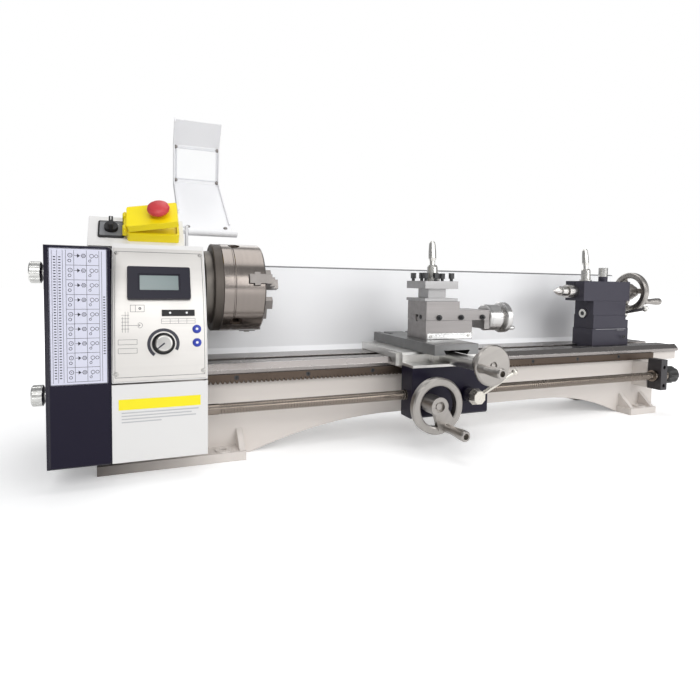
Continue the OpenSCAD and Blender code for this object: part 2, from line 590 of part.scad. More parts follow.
// ---- gear cover ----------------------------------------------------------------
gc_y0 = -front_y - 3;
gc_y1 = mot_y + 32;
gc_top = zs + pulley_r + 6;
module gear_cover() color([0.10, 0.08, 0.15]) difference() {
    union() {
        xext(gx0, gx1) translate([gc_y0, cover_low - 1]) rr(gc_y1 - gc_y0, gc_top - cover_low + 1, 5);
        // rim that meets the headstock
        xext(gx1 - 0.1, hx0 - gap) translate([gc_y0 + 1, cover_low]) rr(gc_y1 - gc_y0 - 2, gc_top - cover_low - 1, 4.5);
    }
    xext(gx0 + 3, hx0 + 1) translate([gc_y0 + 2, cover_low + 1]) rr(gc_y1 - gc_y0 - 4, gc_top - cover_low - 3, 4);
    // bevelled front-left edge
    translate([gx0, gc_y0, 0]) rotate(45) cube([7, 7, 800], center = true);
}
module cover_knobs() color([0.62, 0.62, 0.63])
    for (p = [[gc_y0 + 26, zs + 16], [gc_y0 + 26, zb - 17]]) difference() {
        union() {
            xturn(gx0 - 16, p[0], p[1]) polygon([[0, 0], [10.5, 0], [12, 1.5], [12, 11], [9, 12.5], [6, 13], [6, 16], [0, 16]]);
        }
        for (k = [0:11]) xc(gx0 - 17, gx0 - 5, p[0] + 12.8 * cos(30 * k), p[1] + 12.8 * sin(30 * k), 1.6);
    }

// ---- spindle and chuck -----------------------------------------------------------
sp_x0 = gear_x - 10;
module spindle() color([0.66, 0.66, 0.66]) difference() {
    union() {
        xc(hx0 - 3, fl_x, 0, zs, spindle_r);
        xc(gear_x + gear_t - 2, hx0 - 3, 0, zs, spindle_r - 1.5);
        xc(sp_x0, gear_x + gear_t - 2, 0, zs, spindle_r - 4);
        xc(fl_x, fl_x + fl_t, 0, zs, flange_r);
        xturn(belt_x0 - 1.2, 0, zs) pulley2(pulley_r);
        // spindle gear and its lock ring
        translate([0, 0, zs]) xext(gear_x, gear_x + gear_t) gear2(n1, gear_m, ph1);
        xc(gear_x - 8, gear_x, 0, zs, spindle_r);
    }
    xc(sp_x0 - 1, plate_x + 1, 0, zs, bore_r);
    for (k = [0:2]) rotate_on(k * 120 + 60) yz_hole(fl_x - 1, plate_x + 1, 43, 4);
    for (k = [0:5]) rotate_on(k * 60 + 30) yz_hole(belt_x0 - 3, belt_x0 + 20, 32, 4);
}
module rotate_on(a) translate([0, 0, zs]) rotate([a, 0, 0]) children();
module yz_hole(x0, x1, r, hr) translate([x0, -r, 0]) rotate([0, 90, 0]) cylinder(r = hr, h = x1 - x0);
module chuck_plate() color([0.58, 0.57, 0.56]) difference() {
    xturn(plate_x, 0, zs) polygon([[bore_r, 0], [chuck_r - 1.5, 0], [chuck_r - 0.5, 1], [chuck_r - 0.5, plate_t], [bore_r, plate_t]]);
    for (k = [0:2]) rotate_on(k * 120 + 60) yz_hole(plate_x - 1, plate_x + 8, 43, 4);
}
module chuck_studs() color([0.72, 0.72, 0.70]) for (k = [0:2]) rotate_on(k * 120 + 60) translate([0, -43, 0]) {
    translate([fl_x - nut_t - 1, 0, 0]) rotate([0, 90, 0]) cylinder(r = 4 - tiny, h = fl_t + nut_t + 8);
    translate([fl_x - nut_t, 0, 0]) rotate([0, 90, 0]) cylinder(r = 7.5, h = nut_t, $fn = 6);
}
slot_d = 24;          // depth of the jaw slots
pin_x = face_x - 38;  // key sockets
pin_r = 8;
module chuck_body() color([0.55, 0.54, 0.53]) difference() {
    xturn(chuck_x, 0, zs) polygon([[bore_r - 3, 0], [chuck_r - 1, 0], [chuck_r, 1], [chuck_r, 14], [chuck_r - 0.8, 14.8],
        [chuck_r - 0.8, 16.2], [chuck_r, 17], [chuck_r, chuck_len - 2], [chuck_r - 2, chuck_len], [bore_r + 1, chuck_len], [bore_r - 3, chuck_len - 4]]);
    for (k = [0:2]) rotate_on(-jaw_a + k * 120) {
        translate([face_x - slot_d, -chuck_r - 2, -jaw_w / 2 - gap]) cube([slot_d + 1, chuck_r + 2, jaw_w + 2 * gap]);
        translate([face_x - slot_d + 6.7, -chuck_r - 2, -jaw_w / 2 - 3]) cube([8.6, chuck_r + 2 - 14, jaw_w + 6]);
    }
    for (k = [0:2]) rotate_on(-jaw_a - 60 + k * 120) translate([pin_x, -chuck_r - 1, 0]) rotate([-90, 0, 0]) cylinder(r = pin_r + run, h = 22);
    // screw heads in the face
    for (k = [0:2]) rotate_on(-jaw_a - 60 + k * 120) yz_hole(face_x - 9, face_x + 1, 44, 5);
}
// bevel pinion with its square key socket
module chuck_pinion(k) rotate_on(-jaw_a - 60 + k * 120) translate([pin_x, -chuck_r + 2, 0])
    rotate([-90, 0, 0]) difference() {
        union() {
            cylinder(r = pin_r, h = 14);
            translate([0, 0, 14 - 0.01]) cylinder(r1 = pin_r, r2 = pin_r - 2.5, h = 4.4);
        }
        translate([-4.2, -4.2, -1]) cube([8.4, 8.4, 12]);
    }
module chuck_pinion_1() color([0.36, 0.36, 0.37]) chuck_pinion(0);
module chuck_pinion_2() color([0.36, 0.36, 0.37]) chuck_pinion(1);
module chuck_pinion_3() color([0.36, 0.36, 0.37]) chuck_pinion(2);
jaw_r0 = 14;
module jaw() {
    w = jaw_w / 2;
    t = jaw_r0 + w / tan(60);
    difference() {
        union() {
            // body in the slot
            translate([face_x - slot_d + gap, -chuck_r - 4, -w]) cube([slot_d - gap, chuck_r + 4 - t, jaw_w]);
            // guide rails
            translate([face_x - slot_d + 7, -chuck_r - 4, -w - 2.7]) cube([8, chuck_r + 4 - 24, jaw_w + 5.4]);
            // steps before the face
            translate([face_x, -chuck_r - 2, -w]) cube([8, chuck_r + 2 - t, jaw_w]);
            translate([face_x, -47, -w]) cube([16, 47 - t, jaw_w]);
            translate([face_x, -31, -w]) cube([24, 31 - t, jaw_w]);
            // pointed gripping nose
            translate([face_x - slot_d + gap, 0, 0]) rotate([90, 0, 90]) linear_extrude(slot_d + 24 - gap)
                polygon([[-t - 0.01, -w], [-jaw_r0, 0], [-t - 0.01, w]]);
        }
        // scroll teeth on the back
        for (r = [24:6:60]) translate([face_x - slot_d - 1, -r - 1.6, -w - 1]) cube([3.2, 3.2, jaw_w + 2]);
    }
}
module jaw_1() color([0.50, 0.49, 0.48]) rotate_on(-jaw_a) jaw();
module jaw_2() color([0.50, 0.49, 0.48]) rotate_on(-jaw_a + 120) jaw();
module jaw_3() color([0.50, 0.49, 0.48]) rotate_on(-jaw_a + 240) jaw();

// ---- lead screw -------------------------------------------------------------------
br_x0 = xr + 4;       // lead screw bracket
br_x1 = xr + 20;
brk_w = 28;
thread = 4;           // pitch
th_n = floor((br_x0 - hx1 - 30) / thread);
module lead_screw() color([0.55, 0.53, 0.50]) {
    xc(gear_x - 4, hx1 + 16, ys, zl, screw_r);
    xturn(hx1 + 16, ys, zl) polygon(concat([[0, 0]],
        [for (i = [0:th_n - 1]) each [[screw_r, i * thread], [screw_r, (i + 0.42) * thread], [screw_r - 0.9, (i + 0.52) * thread], [screw_r - 0.9, (i + 0.9) * thread]]],
        [[screw_r - 0.9, th_n * thread], [0, th_n * thread]]));
    xc(hx1 + 16 + th_n * thread, br_x1 + 10, ys, zl, screw_r);
    translate([0, ys, zl]) xext(gear_x, gear_x + gear_t) gear2(n3, gear_m, ph3);
    // stop collars at the bracket
    xc(br_x1 + gap, br_x1 + 9, ys, zl, 11.5);
    xc(br_x0 - 7, br_x0 - gap, ys, zl, 10.5);
    // ribbed end knob
    color([0.10, 0.10, 0.10]) difference() {
        xturn(br_x1 + 9, ys, zl) polygon([[0, 0], [12, 0], [15, 3], [16, 7], [16, 20], [14, 24], [10, 26], [0, 26]]);
        for (k = [0:7]) xc(br_x1 + 8, br_x1 + 40, ys + 18 * cos(45 * k + 22), zl + 18 * sin(45 * k + 22), 5);
    }
}
module screw_bracket() color([0.12, 0.11, 0.12]) difference() {
    bx(br_x0, br_x1, ys - brk_w / 2, ys + brk_w / 2 - 1, zl - 25, zl + 31);
    xc(br_x0 - 1, br_x1 + 1, ys, zl, screw_r + run);
    // bolts into the boss on the bed
    for (z = [-17, 17]) yc(ys - brk_w / 2 - 1, ys - brk_w / 2 + 5, (br_x0 + br_x1) / 2, zl + z, 3.4);
}

// ---- carriage -----------------------------------------------------------------------
cx = face_x + car_x;
sx0 = cx - saddle_len / 2;
sx1 = cx + saddle_len / 2;
ap0 = -apron_y;
ap1 = -apron_y + apron_d;
ap_z1 = zb - 7;
ap_z0 = ap_z1 - apron_h + 4;
cut = 0.35;
cfx = cx + 5;         // cross-feed screw
cfz = zb + 7.5;
boss_w = 48;          // width of the cross-feed bearing
cs_w0 = 34;           // dovetail, narrow and wide
cs_w1 = 44;
cs_z = zb + saddle_t; // top of the saddle
cs_h = 7;             // dovetail height
module saddle() color([0.78, 0.77, 0.74]) difference() {
    union() {
        // wings over the ways, body with the front and back lips
        xext(sx0, sx1) difference() {
            polygon([[ap1, rack_z + gap], [ap1, ap_z1], [ap0, ap_z1], [ap0, ap_z1 + 4], [-hb - 26, ap_z1 + 4], [-hb - 26, cs_z - 3], [-hb - 23, cs_z], [hb + 6, cs_z], [hb + 6, zb - way_lip - 9],
                [hb - 6 + gap, zb - way_lip - 9], [hb - 6 + gap, zb - way_lip - 0.4], [hb + gap, zb - way_lip - 0.4],
                [hb + gap, zb + cut], [-hb + 19 - 0.2, zb + cut], [-hb + 19 - 0.2, zb - 5], [-hb + 16 + 0.2, zb - 5 ], [-hb + 8, zb + vee_up + cut + 0.15],
                [-hb - gap, zb + vee_up - 8 + 0.1], [-hb - gap, rack_z + gap]]);
        }
        // dovetail
        yext(-hb - 26, hb + 6) polygon([[cx - cs_w0 / 2, cs_z - 0.01], [cx - cs_w1 / 2, cs_z + cs_h], [cx + cs_w1 / 2, cs_z + cs_h], [cx + cs_w0 / 2, cs_z - 0.01]]);
        // cross-feed bearing and its tapered boss
        bx(cfx - boss_w / 2, cfx + boss_w / 2, -hb - 36, -hb - 25.9, ap_z1 + 1, cs_z - 0.3);
        translate([cfx, -hb - 26, cfz]) rotate([90, 0, 0]) difference() {
            cylinder(r1 = 14, r2 = 12.5, h = 92);
            translate([-20, cs_z - 0.3 - cfz, -1]) cube([40, 16, 94]);
        }
        // wipers at the wing ends
        for (x = [sx0 - 4, sx1]) xext(x, x + 4) difference() {
            translate([-hb - 12, zb - 10]) square([26, 19]);
            translate([0, zb]) polygon([[-hb - 0.4, -30], [-hb - 0.4, -7.6 + vee_up], [-hb + 8, vee_up + 0.6], [-hb + 15.8, -7.4 + vee_up], [-hb + 18.8, -7.4 + vee_up], [-hb + 18.8, 0.4], [0, 0.4], [0, -30]]);
        }
    }
    yc(-hb - 120, -hb - 26, cfx, cfz, 4 + run);
    // channel for the cross-feed screw
    yc(-hb - 27, hb + 7, cfx, cfz, 4.3);
    bx(cfx - 4.3, cfx + 4.3, -hb - 27, hb + 7, cfz, cs_z + cs_h + 1);
}
hwx = sx0 + 20;       // carriage handwheel axis
hwz = zb - 55;
hw_y1 = ys - screw_r - 2.5; // inner end of its shaft
hnx = sx1 - 40;       // half-nut lever axis
hnz = zl;
nut_x0 = cx - 8;
nut_x1 = cx + 22;
module apron() color([0.11, 0.09, 0.17]) difference() {
    union() {
        xext(sx0 - 1, sx1 - 0.5) difference() {
            translate([ap0, ap_z0]) square([apron_d, ap_z1 - ap_z0]);
            translate([ap0, ap_z0]) rotate(45) square(4, center = true);
        }
        // bearings of the handwheel and of the half-nut lever
        yc(ap0 - 14, ap0, hwx, hwz, 13);
        yc(ap0 - 10, ap0, hnx, hnz, 11);
    }
    xc(sx0 - 5, sx1 + 5, ys, zl, screw_r + 1);
    // chamber of the half nuts, open at the back
    bx(nut_x0 - gap, nut_x1 + gap, ys - 11.4, ap1 + 1, zl - 25, zl + 25);
    yc(ap0 - 20, hw_y1 + 0.5, hwx, hwz, 5 + run);
    yc(ap0 - 20, ap0 + 8, hnx, hnz, 5 + run);
}
nut_lift = 5;
module nut_block(s) difference() {
    bx(nut_x0, nut_x1, ys - 11, ap1 - 0.5, s > 0 ? zl + nut_lift : zl - 18 - nut_lift, s > 0 ? zl + 18 + nut_lift : zl - nut_lift);
    xc(nut_x0 - 1, nut_x1 + 1, ys, zl + s * nut_lift, screw_r + gap);
}
module half_nut_upper() color([0.70, 0.55, 0.28]) nut_block(1);
module half_nut_lower() color([0.70, 0.55, 0.28]) nut_block(-1);
module half_nut_lever() color([0.75, 0.74, 0.72]) {
    yc(ap0 - 12, ap0 + 7, hnx, hnz, 5);
    yc(ap0 - 24, ap0 - 10 - gap, hnx, hnz, 10);
    translate([hnx, ap0 - 23.9, hnz]) rotate([90, 22.5, 0]) cylinder(r1 = 13, r2 = 10, h = 11, $fn = 8);
    translate([hnx, ap0 - 28, hnz]) rotate([0, -34, 0]) rotate([0, 0, -13]) {
        rotate([0, 90, 0]) cylinder(r1 = 3.4, r2 = 2.8, h = 66);
        translate([67, 0, 0]) sphere(4.6);
    }
}
grip_a = -66;
// rim, hub and one broad spoke
module wheel2(r, w) polygon([[r - 11, -w / 2 + 1], [r - 9, -w / 2], [r - 2, -w / 2], [r, -w / 2 + 2], [r, w / 2 - 2], [r - 2, w / 2], [r - 9, w / 2], [r - 11, w / 2 - 1]]);
// turned grip on its stud
module grip(l, r) {
    rotate_extrude($fn = 48) polygon([[0, 0], [r - 1.4, 0], [r - 0.8, 2], [r - 1.6, l * 0.3], [r, l * 0.75], [r, l - 2], [r - 1.2, l], [r * 0.55, l], [r * 0.55, l - 9], [0, l - 9]]);
}
module carriage_wheel() color([0.62, 0.60, 0.57]) {
    wy = ap0 - 34;
    yturn(hwx, wy, hwz) wheel2(wheel_r, 12);
    difference() {
        union() {
            yc(wy - 9, ap0 - 14 - gap, hwx, hwz, 13.5);
            // broad spoke
            translate([hwx, wy - 4, hwz]) rotate([0, -grip_a, 0]) translate([8, 0, 0]) rotate([90, 0, 0]) linear_extrude(8, center = true)
                polygon([[0, -11], [wheel_r - 17.5, -14], [wheel_r - 17.5, 14], [0, 11]]);
        }
        yc(wy - 10, wy - 4, hwx, hwz, 7.5);
    }
    yc(wy - 6.5, wy - 3.9, hwx, hwz, 4.6);
    yc(ap0 - 15, hw_y1, hwx, hwz, 5);
    translate([hwx + (wheel_r - 6) * cos(grip_a), wy - 5.9, hwz + (wheel_r - 6) * sin(grip_a)]) rotate([90, 0, 0]) grip(46, 7.5);
}
module cross_slide() color([0.52, 0.51, 0.49]) {
    y0 = -130;
    difference() {
        union() {
        bx(cx - cross_w / 2, cx + cross_w / 2, y0, y0 + cross_len, cs_z + gap, cs_z + gap + cross_t);
    }
    // dovetail groove
    yext(y0 - 1, y0 + cross_len + 1) polygon([[cx - cs_w0 / 2 - 0.6, cs_z], [cx - cs_w1 / 2 - 0.6, cs_z + cs_h + gap], [cx + cs_w1 / 2 + 0.6, cs_z + cs_h + gap], [cx + cs_w0 / 2 + 0.6, cs_z]]);
    // T-slots behind the compound slide
    for (x = [cx - 22, cx + 22]) {
        bx(x - 4, x + 4, 34, y0 + cross_len + 1, cs_z + gap + cross_t - 5, cs_z + cross_t + 2);
        bx(x - 6.5, x + 6.5, 34, y0 + cross_len + 1, cs_z + gap + cross_t - 6.5, cs_z + gap + cross_t - 3);
    }
    // gib screw holes
    for (i = [0:4]) translate([cx + cross_w / 2 - 6, y0 + 24 + i * 38, cs_z + 4.2]) rotate([0, 90, 0]) cylinder(r = 2, h = 8);
    }
    // nut on the cross-feed screw
    difference() {
        union() {
            yc(-25, -5, cfx, cfz, 3.9);
            bx(cfx - 3.9, cfx + 3.9, -25, -5, cfz, cs_z + cs_h + gap + 0.01);
        }
        yc(-26, -4, cfx, cfz, 3 + run);
    }
}
cw_y = -205;
module cross_wheel() color([0.60, 0.56, 0.53]) {
    // screw, dial and disc wheel
    yc(cw_y, -hb - 27, cfx, cfz, 4);
    yc(-hb - 27.01, hb - 8, cfx, cfz, 3);
    yc(cw_y + 2.9, -hb - 26 - 92 - gap, cfx, cfz, 13);
    difference() {
        yturn(cfx, cw_y, cfz) polygon([[0, -3.5], [cross_wheel_r - 2, -3.5], [cross_wheel_r, -1.5], [cross_wheel_r, 1.5], [cross_wheel_r - 2, 3.5], [0, 3.5]]);
        yc(cw_y - 7, cw_y - 0.5, cfx, cfz, 5.5);
    }
    yc(cw_y - 3, cw_y, cfx, cfz, 3.2);
    translate([cfx + (cross_wheel_r - 6) * cos(-174), cw_y - 3.4, cfz + (cross_wheel_r - 6) * sin(-174)]) rotate([90, 0, 0]) grip(46, 7);
}
// compound slide
kx = cx + 11;
ky = -38;
kz = cs_z + gap + cross_t;  // top of the cross slide
kb = 30;                    // height of the fixed part
cb_x0 = kx - 27;            // ends of the fixed part
cb_x1 = kx + 59;
ax_z = kz + kb + 2;         // compound screw
module compound_base() color([0.66, 0.65, 0.63]) difference() {
    union() {
        bx(cb_x0, cb_x1, ky - comp_w / 2, ky + comp_w / 2, kz + gap, kz + 11);
        bx(cb_x0, cb_x1, ky - comp_w / 2 + 0.6, ky + comp_w / 2 - 0.6, kz + 10.9, kz + kb);
        // dovetail
        xext(cb_x0, cb_x1) translate([ky, kz + kb]) polygon([[-13, -0.01], [-18, 8], [18, 8], [13, -0.01]]);
    }
    // channel of the screw, closed round its nut
    for (x = [[cb_x0 - 1, kx - 2], [kx + 14, cb_x1 + 1]]) {
        xc(x[0], x[1], ky, ax_z, 4.5);
        bx(x[0], x[1], ky - 4.5, ky + 4.5, ax_z, ax_z + 7);
    }
    xc(kx - 3, kx + 15, ky, ax_z, 4 + run);
    // screws of the graduated plate
    for (x = [cb_x0 + 6, cb_x1 - 6]) yc(ky - comp_w / 2 - 1, ky - comp_w / 2 + 3, x, kz + 6, 2.4);
}
tz = kz + kb + gap;   // underside of the top slide
tt = 30;              // height of the top slide
ts_x1 = kx + 34;      // end of its high part, of its low part and of the screw bearing
ts_x2 = kx + 91;
ts_x3 = ts_x2 + 10;
module top_slide() color([0.70, 0.69, 0.67]) difference() {
    union() {
        bx(cb_x0, ts_x1, ky - comp_w / 2, ky + comp_w / 2, tz, tz + tt);
        bx(ts_x1 - 0.1, ts_x2, ky - comp_w / 2, ky + comp_w / 2, tz, tz + 16);
        bx(ts_x2 - 0.1, ts_x3, ky - 19, ky + 19, tz - 16, tz + 15);
        // post stud
        zc(tz + tt - 0.01, post_top + 8, kx, ky, 5);
    }
    xext(cb_x0 - 1, ts_x2) translate([ky, kz + kb]) polygon([[-13.6, -0.1], [-18.6, 8.3], [18.6, 8.3], [13.6, -0.1]]);
    xc(ts_x2 - 1, ts_x3 + 1, ky, ax_z, 4 + run);
    // gib screws
    for (x = [kx - 4, kx + 37, kx + 78]) yc(ky - comp_w / 2 - 1, ky - comp_w / 2 + 5, x, tz + 4.5, 3);
}
dl_r = 22;
module compound_wheel() color([0.72, 0.72, 0.72]) {
    xc(kx - 24, ts_x3 + 3, ky, ax_z, 4);
    // dial and wheel
    xturn(ts_x3 + gap, ky, ax_z) polygon([[0, 0], [dl_r - 2, 0], [dl_r, 2], [dl_r, 26], [dl_r - 5, 28], [dl_r - 5, 31],
        [dl_r + 2.5, 33], [dl_r + 4, 34.5], [dl_r + 4, 43], [dl_r + 2.5, 44.5], [dl_r - 4, 42], [9, 42], [8, 46], [0, 46]]);
    // crank pins
    for (a = [65, 245]) translate([ts_x3 + 41, ky + 19.5 * cos(a), ax_z + 19.5 * sin(a)]) rotate([0, 90, 0])
        rotate_extrude($fn = 32) polygon([[0, 0], [2.6, 0], [2.6, 5], [3.6, 7], [3.6, 17], [2.6, 19], [0, 19]]);
}
pz = tz + tt;
pp = 12;              // thickness of the post's top and bottom plates
module tool_post() color([0.38, 0.37, 0.36]) difference() {
    union() {
        bx(kx - post_w / 2, kx + post_w / 2, ky - post_w / 2, ky + post_w / 2, pz + gap, pz + 5);
        bx(kx - post_w / 2 + 14, kx + post_w / 2 - 14, ky - post_w / 2 + 14, ky + post_w / 2 - 14, pz + 4.9, pz + 5 + tool_slot + 1);
        bx(kx - post_w / 2, kx + post_w / 2, ky - post_w / 2, ky + post_w / 2, pz + 5 + tool_slot, pz + 5 + tool_slot + pp);
    }
    zc(pz - 1, pz + 60, kx, ky, 5 + run);
    for (p = post_at) zc(pz + 4 + tool_slot, pz + 60, p[0], p[1], 2.6);
}
post_at = concat([for (s = [-1, 1], t = [-20, 7 * s, 20]) [kx + s * 23.5, ky + t]], [for (s = [-1, 1]) [kx + s * 8, ky + s * 23.5]]);
post_top = pz + 5 + tool_slot + pp;
module post_screws() color([0.10, 0.10, 0.11]) for (p = post_at) {
    zc(post_top - pp + 0.5, post_top + 4, p[0], p[1], 2.6 - tiny);
    translate([p[0] - 3.2, p[1] - 3.2, post_top + 4]) cube([6.4, 6.4, 9]);
}
// upright lever: turned hub, neck and grip
module lever_up(h) {
    rotate_extrude() polygon([[0, 0], [8.6, 0], [9, 2], [8.2, h - 3], [6.5, h], [0, h]]);
    translate([0, 0, h - 2]) rotate([-10, 4, 0]) rotate_extrude($fn = 40) polygon([[0, 0], [4.2, 0], [4.2, 8], [6.2, 13], [6, 24], [5, 38], [3.4, 41], [0, 41.6]]);
}
module post_lever() color([0.66, 0.65, 0.62]) difference() {
    union() {
        zc(post_top + gap, post_top + 4, kx, ky, 11);
        translate([kx, ky, post_top + 3.9]) lever_up(22);
    }
    zc(post_top, post_top + 10, kx, ky, 5 + run);
}

// ---- tailstock ------------------------------------------------------------------------
tx0 = face_x + tail_x;
tx1 = tx0 + tail_len;
tw = tail_w / 2;
sole_z = zb + 33;
module tail_sole() color([0.27, 0.27, 0.32]) {
    bx(tx0 + 24, tx1 - 2, -tw - 1.5, tw + 1.5, zb + cut, sole_z);
    // key between the ways
    bx(tx0 + 24, tx1 - 2, -way_gap / 2 + 0.3, way_gap / 2 - 0.3, zb - 8, zb + 1);
    // clamp bolt and plate under the ways
    zc(zu - 16, zb + 2, (tx0 + tx1) / 2, 0, 8);
    bx((tx0 + tx1) / 2 - 32, (tx0 + tx1) / 2 + 32, -30, 30, zu - 12, zu - gap);
}
lock_z = zs - 43;
module tail_body() color([0.29, 0.28, 0.32]) difference() {
    union() {
        bx(tx0, tx1, -tw, tw, zs - 18, zs + 20);
        bx(tx0 + 26, tx1 - 9, -tw + 0.5, tw - 0.5, sole_z + 12, zs - 17.9);
        // foot on the sole
        bx(tx0 + 26, tx1 - 9, -tw - 1, tw + 1, sole_z, sole_z + 26);
        bx(tx1 - 9.1, tx1 - 2.5, -tw - 1, tw + 1, sole_z, lock_z - 12);
        // oil cup
        zc(zs + 19.9, zs + 47, tx0 + 73, 0, 8.5);
    }
    xc(tx0 - 1, tx1 + 1, 0, zs, quill_r + run);
    xc(tx0 - 1, tx1 + 1, 0, lock_z, 6 + run);
    zc(zs, zs + 30, tx0 + 27, 0, 5 + run);
    // split of the front bore
    bx(tx0 - 1, tx0 + 30, -1, 1, zs + 2, zs + 30);
}
module quill() color([0.68, 0.67, 0.65]) {
    difference() {
        xc(tx0 - quill_out, tx0 + 84, 0, zs, quill_r);
        xc(tx0 + 20, tx0 + 90, 0, zs, 6.5);
    }
    // live centre
    xturn(tx0 - quill_out - 32.5, 0, zs) polygon([[0, 0], [7, 12.1], [7, 17], [9.5, 18], [9.5, 30], [7, 31], [7, 32.51], [0, 32.51]]);
}
tw_x = tx1 + 30;
module tail_wheel() color([0.63, 0.61, 0.58]) {
    xc(tx0 + 40, tw_x, 0, zs, 6);
    xc(tx1 + gap, tw_x - 4, 0, zs, 17);
    translate([tw_x, 0, zs]) rotate([0, -90, 0]) rotate_extrude($fn = 64) wheel2(tail_wheel_r, 12);
    difference() {
        union() {
            xc(tw_x - 6, tw_x + 8, 0, zs, 12);
            for (k = [0:2]) translate([tw_x, 0, zs]) rotate([k * 120 - 35, 0, 0]) bx(-3.5, 3.5, -5, 5, 8, tail_wheel_r - 9.5);
        }
        xc(tw_x + 4, tw_x + 9, 0, zs, 6);
    }
    translate([tw_x + 5.9, -(tail_wheel_r - 6) * cos(35), zs - (tail_wheel_r - 6) * sin(35)]) rotate([0, 90, 0]) grip(44, 7);
}
module quill_lock() color([0.68, 0.68, 0.67]) {
    x = tx0 + 27;
    zc(zs + quill_r + 1, zs + 24, x, 0, 5);
    zc(zs + 20 + gap, zs + 23, x, 0, 11);
    translate([x, 0, zs + 22.9]) lever_up(21);
}
module tail_lock() color([0.72, 0.72, 0.71]) {
    xc(tx0 + 22, tx1 + 7, 0, lock_z, 6);
    xc(tx0 + 22, tx0 + 26 - gap, 0, lock_z, 8.5);
    xc(tx1 - 9 + gap, tx1 + 13, 0, lock_z, 11);
    translate([tx1 + 7.5, 0, lock_z]) rotate([78, 0, 0]) {
        cylinder(r = 3.5, h = 52);
        translate([0, 0, 54]) sphere(6);
    }
}

bed();
rack();
rack_screws();
splash_guard();
headstock();
spindle_bearings();
head_cover();
control_panel();
panel_screws();
display();
lower_cover();
control_box();
switch_plate();
switch_knob();
estop_box();
estop_lid();
estop_button();
speed_knob();
guard_hinge();
guard();
guard_window();
motor();
motor_pulley();
drive_belt();
feed_bearing();
idler_gear();
gear_cover();
cover_knobs();
spindle();
chuck_plate();
chuck_studs();
chuck_body();
chuck_pinion_1();
chuck_pinion_2();
chuck_pinion_3();
jaw_1();
jaw_2();
jaw_3();
lead_screw();
screw_bracket();
saddle();
apron();
half_nut_upper();
half_nut_lower();
half_nut_lever();
carriage_wheel();
cross_slide();
cross_wheel();
compound_base();
top_slide();
compound_wheel();
tool_post();
post_screws();
post_lever();
tail_sole();
tail_body();
quill();
tail_wheel();
quill_lock();
tail_lock();
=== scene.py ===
import bpy
import bmesh
import json
import math
from mathutils import Matrix, Vector


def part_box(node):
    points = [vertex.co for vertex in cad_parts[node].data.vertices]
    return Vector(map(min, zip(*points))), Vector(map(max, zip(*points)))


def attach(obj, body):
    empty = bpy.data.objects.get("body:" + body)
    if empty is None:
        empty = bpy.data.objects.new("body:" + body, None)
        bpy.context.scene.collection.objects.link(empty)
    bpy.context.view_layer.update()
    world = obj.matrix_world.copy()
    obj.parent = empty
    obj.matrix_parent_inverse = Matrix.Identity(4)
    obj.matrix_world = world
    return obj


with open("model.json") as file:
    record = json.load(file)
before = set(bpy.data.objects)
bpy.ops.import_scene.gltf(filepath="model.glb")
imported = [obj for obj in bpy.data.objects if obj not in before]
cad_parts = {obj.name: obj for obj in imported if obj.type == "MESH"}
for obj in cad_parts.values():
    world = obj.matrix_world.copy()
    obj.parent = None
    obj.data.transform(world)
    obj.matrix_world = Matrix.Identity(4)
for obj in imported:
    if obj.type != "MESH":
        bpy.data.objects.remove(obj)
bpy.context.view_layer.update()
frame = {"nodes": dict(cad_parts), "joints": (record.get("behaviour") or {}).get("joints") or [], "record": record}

scene = bpy.context.scene
nodes = frame["nodes"]
MM = 0.001


# ---------------------------------------------------------------- places
def box(name):
    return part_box(name)


def joint(name):
    return next(j for j in frame["joints"] if j["name"] == name)


def joint_point(name):
    return Vector(joint(name)["pos_m"])


# ---------------------------------------------------------------- shader groups
def group(name, inputs, outputs):
    tree = bpy.data.node_groups.new(name, "ShaderNodeTree")
    for label, kind, value in inputs:
        s = tree.interface.new_socket(label, in_out="INPUT", socket_type=kind)
        if value is not None:
            s.default_value = value
    for label, kind in outputs:
        tree.interface.new_socket(label, in_out="OUTPUT", socket_type=kind)
    return tree, tree.nodes.new("NodeGroupInput"), tree.nodes.new("NodeGroupOutput")


FLOAT, VECTOR, COLOR = "NodeSocketFloat", "NodeSocketVector", "NodeSocketColor"


def maths(tree, op, a, b=None, c=None, clamp=False):
    n = tree.nodes.new("ShaderNodeMath")
    n.operation = op
    n.use_clamp = clamp
    for i, v in enumerate((a, b, c)):
        if v is None:
            continue
        if isinstance(v, (int, float)):
            n.inputs[i].default_value = v
        else:
            tree.links.new(v, n.inputs[i])
    return n.outputs[0]


def vec_maths(tree, op, a, b):
    n = tree.nodes.new("ShaderNodeVectorMath")
    n.operation = op
    for i, v in enumerate((a, b)):
        if isinstance(v, (tuple, list)):
            n.inputs[i].default_value = v
        else:
            tree.links.new(v, n.inputs[i])
    return n.outputs["Value"] if op in ("DOT_PRODUCT", "LENGTH") else n.outputs[0]


def noise(tree, vector, scale, detail=3.0, rough=0.55):
    n = tree.nodes.new("ShaderNodeTexNoise")
    n.inputs["Detail"].default_value = detail
    n.inputs["Roughness"].default_value = rough
    if isinstance(scale, (int, float)):
        n.inputs["Scale"].default_value = scale
    else:
        tree.links.new(scale, n.inputs["Scale"])
    tree.links.new(vector, n.inputs["Vector"])
    return n.outputs["Fac"]


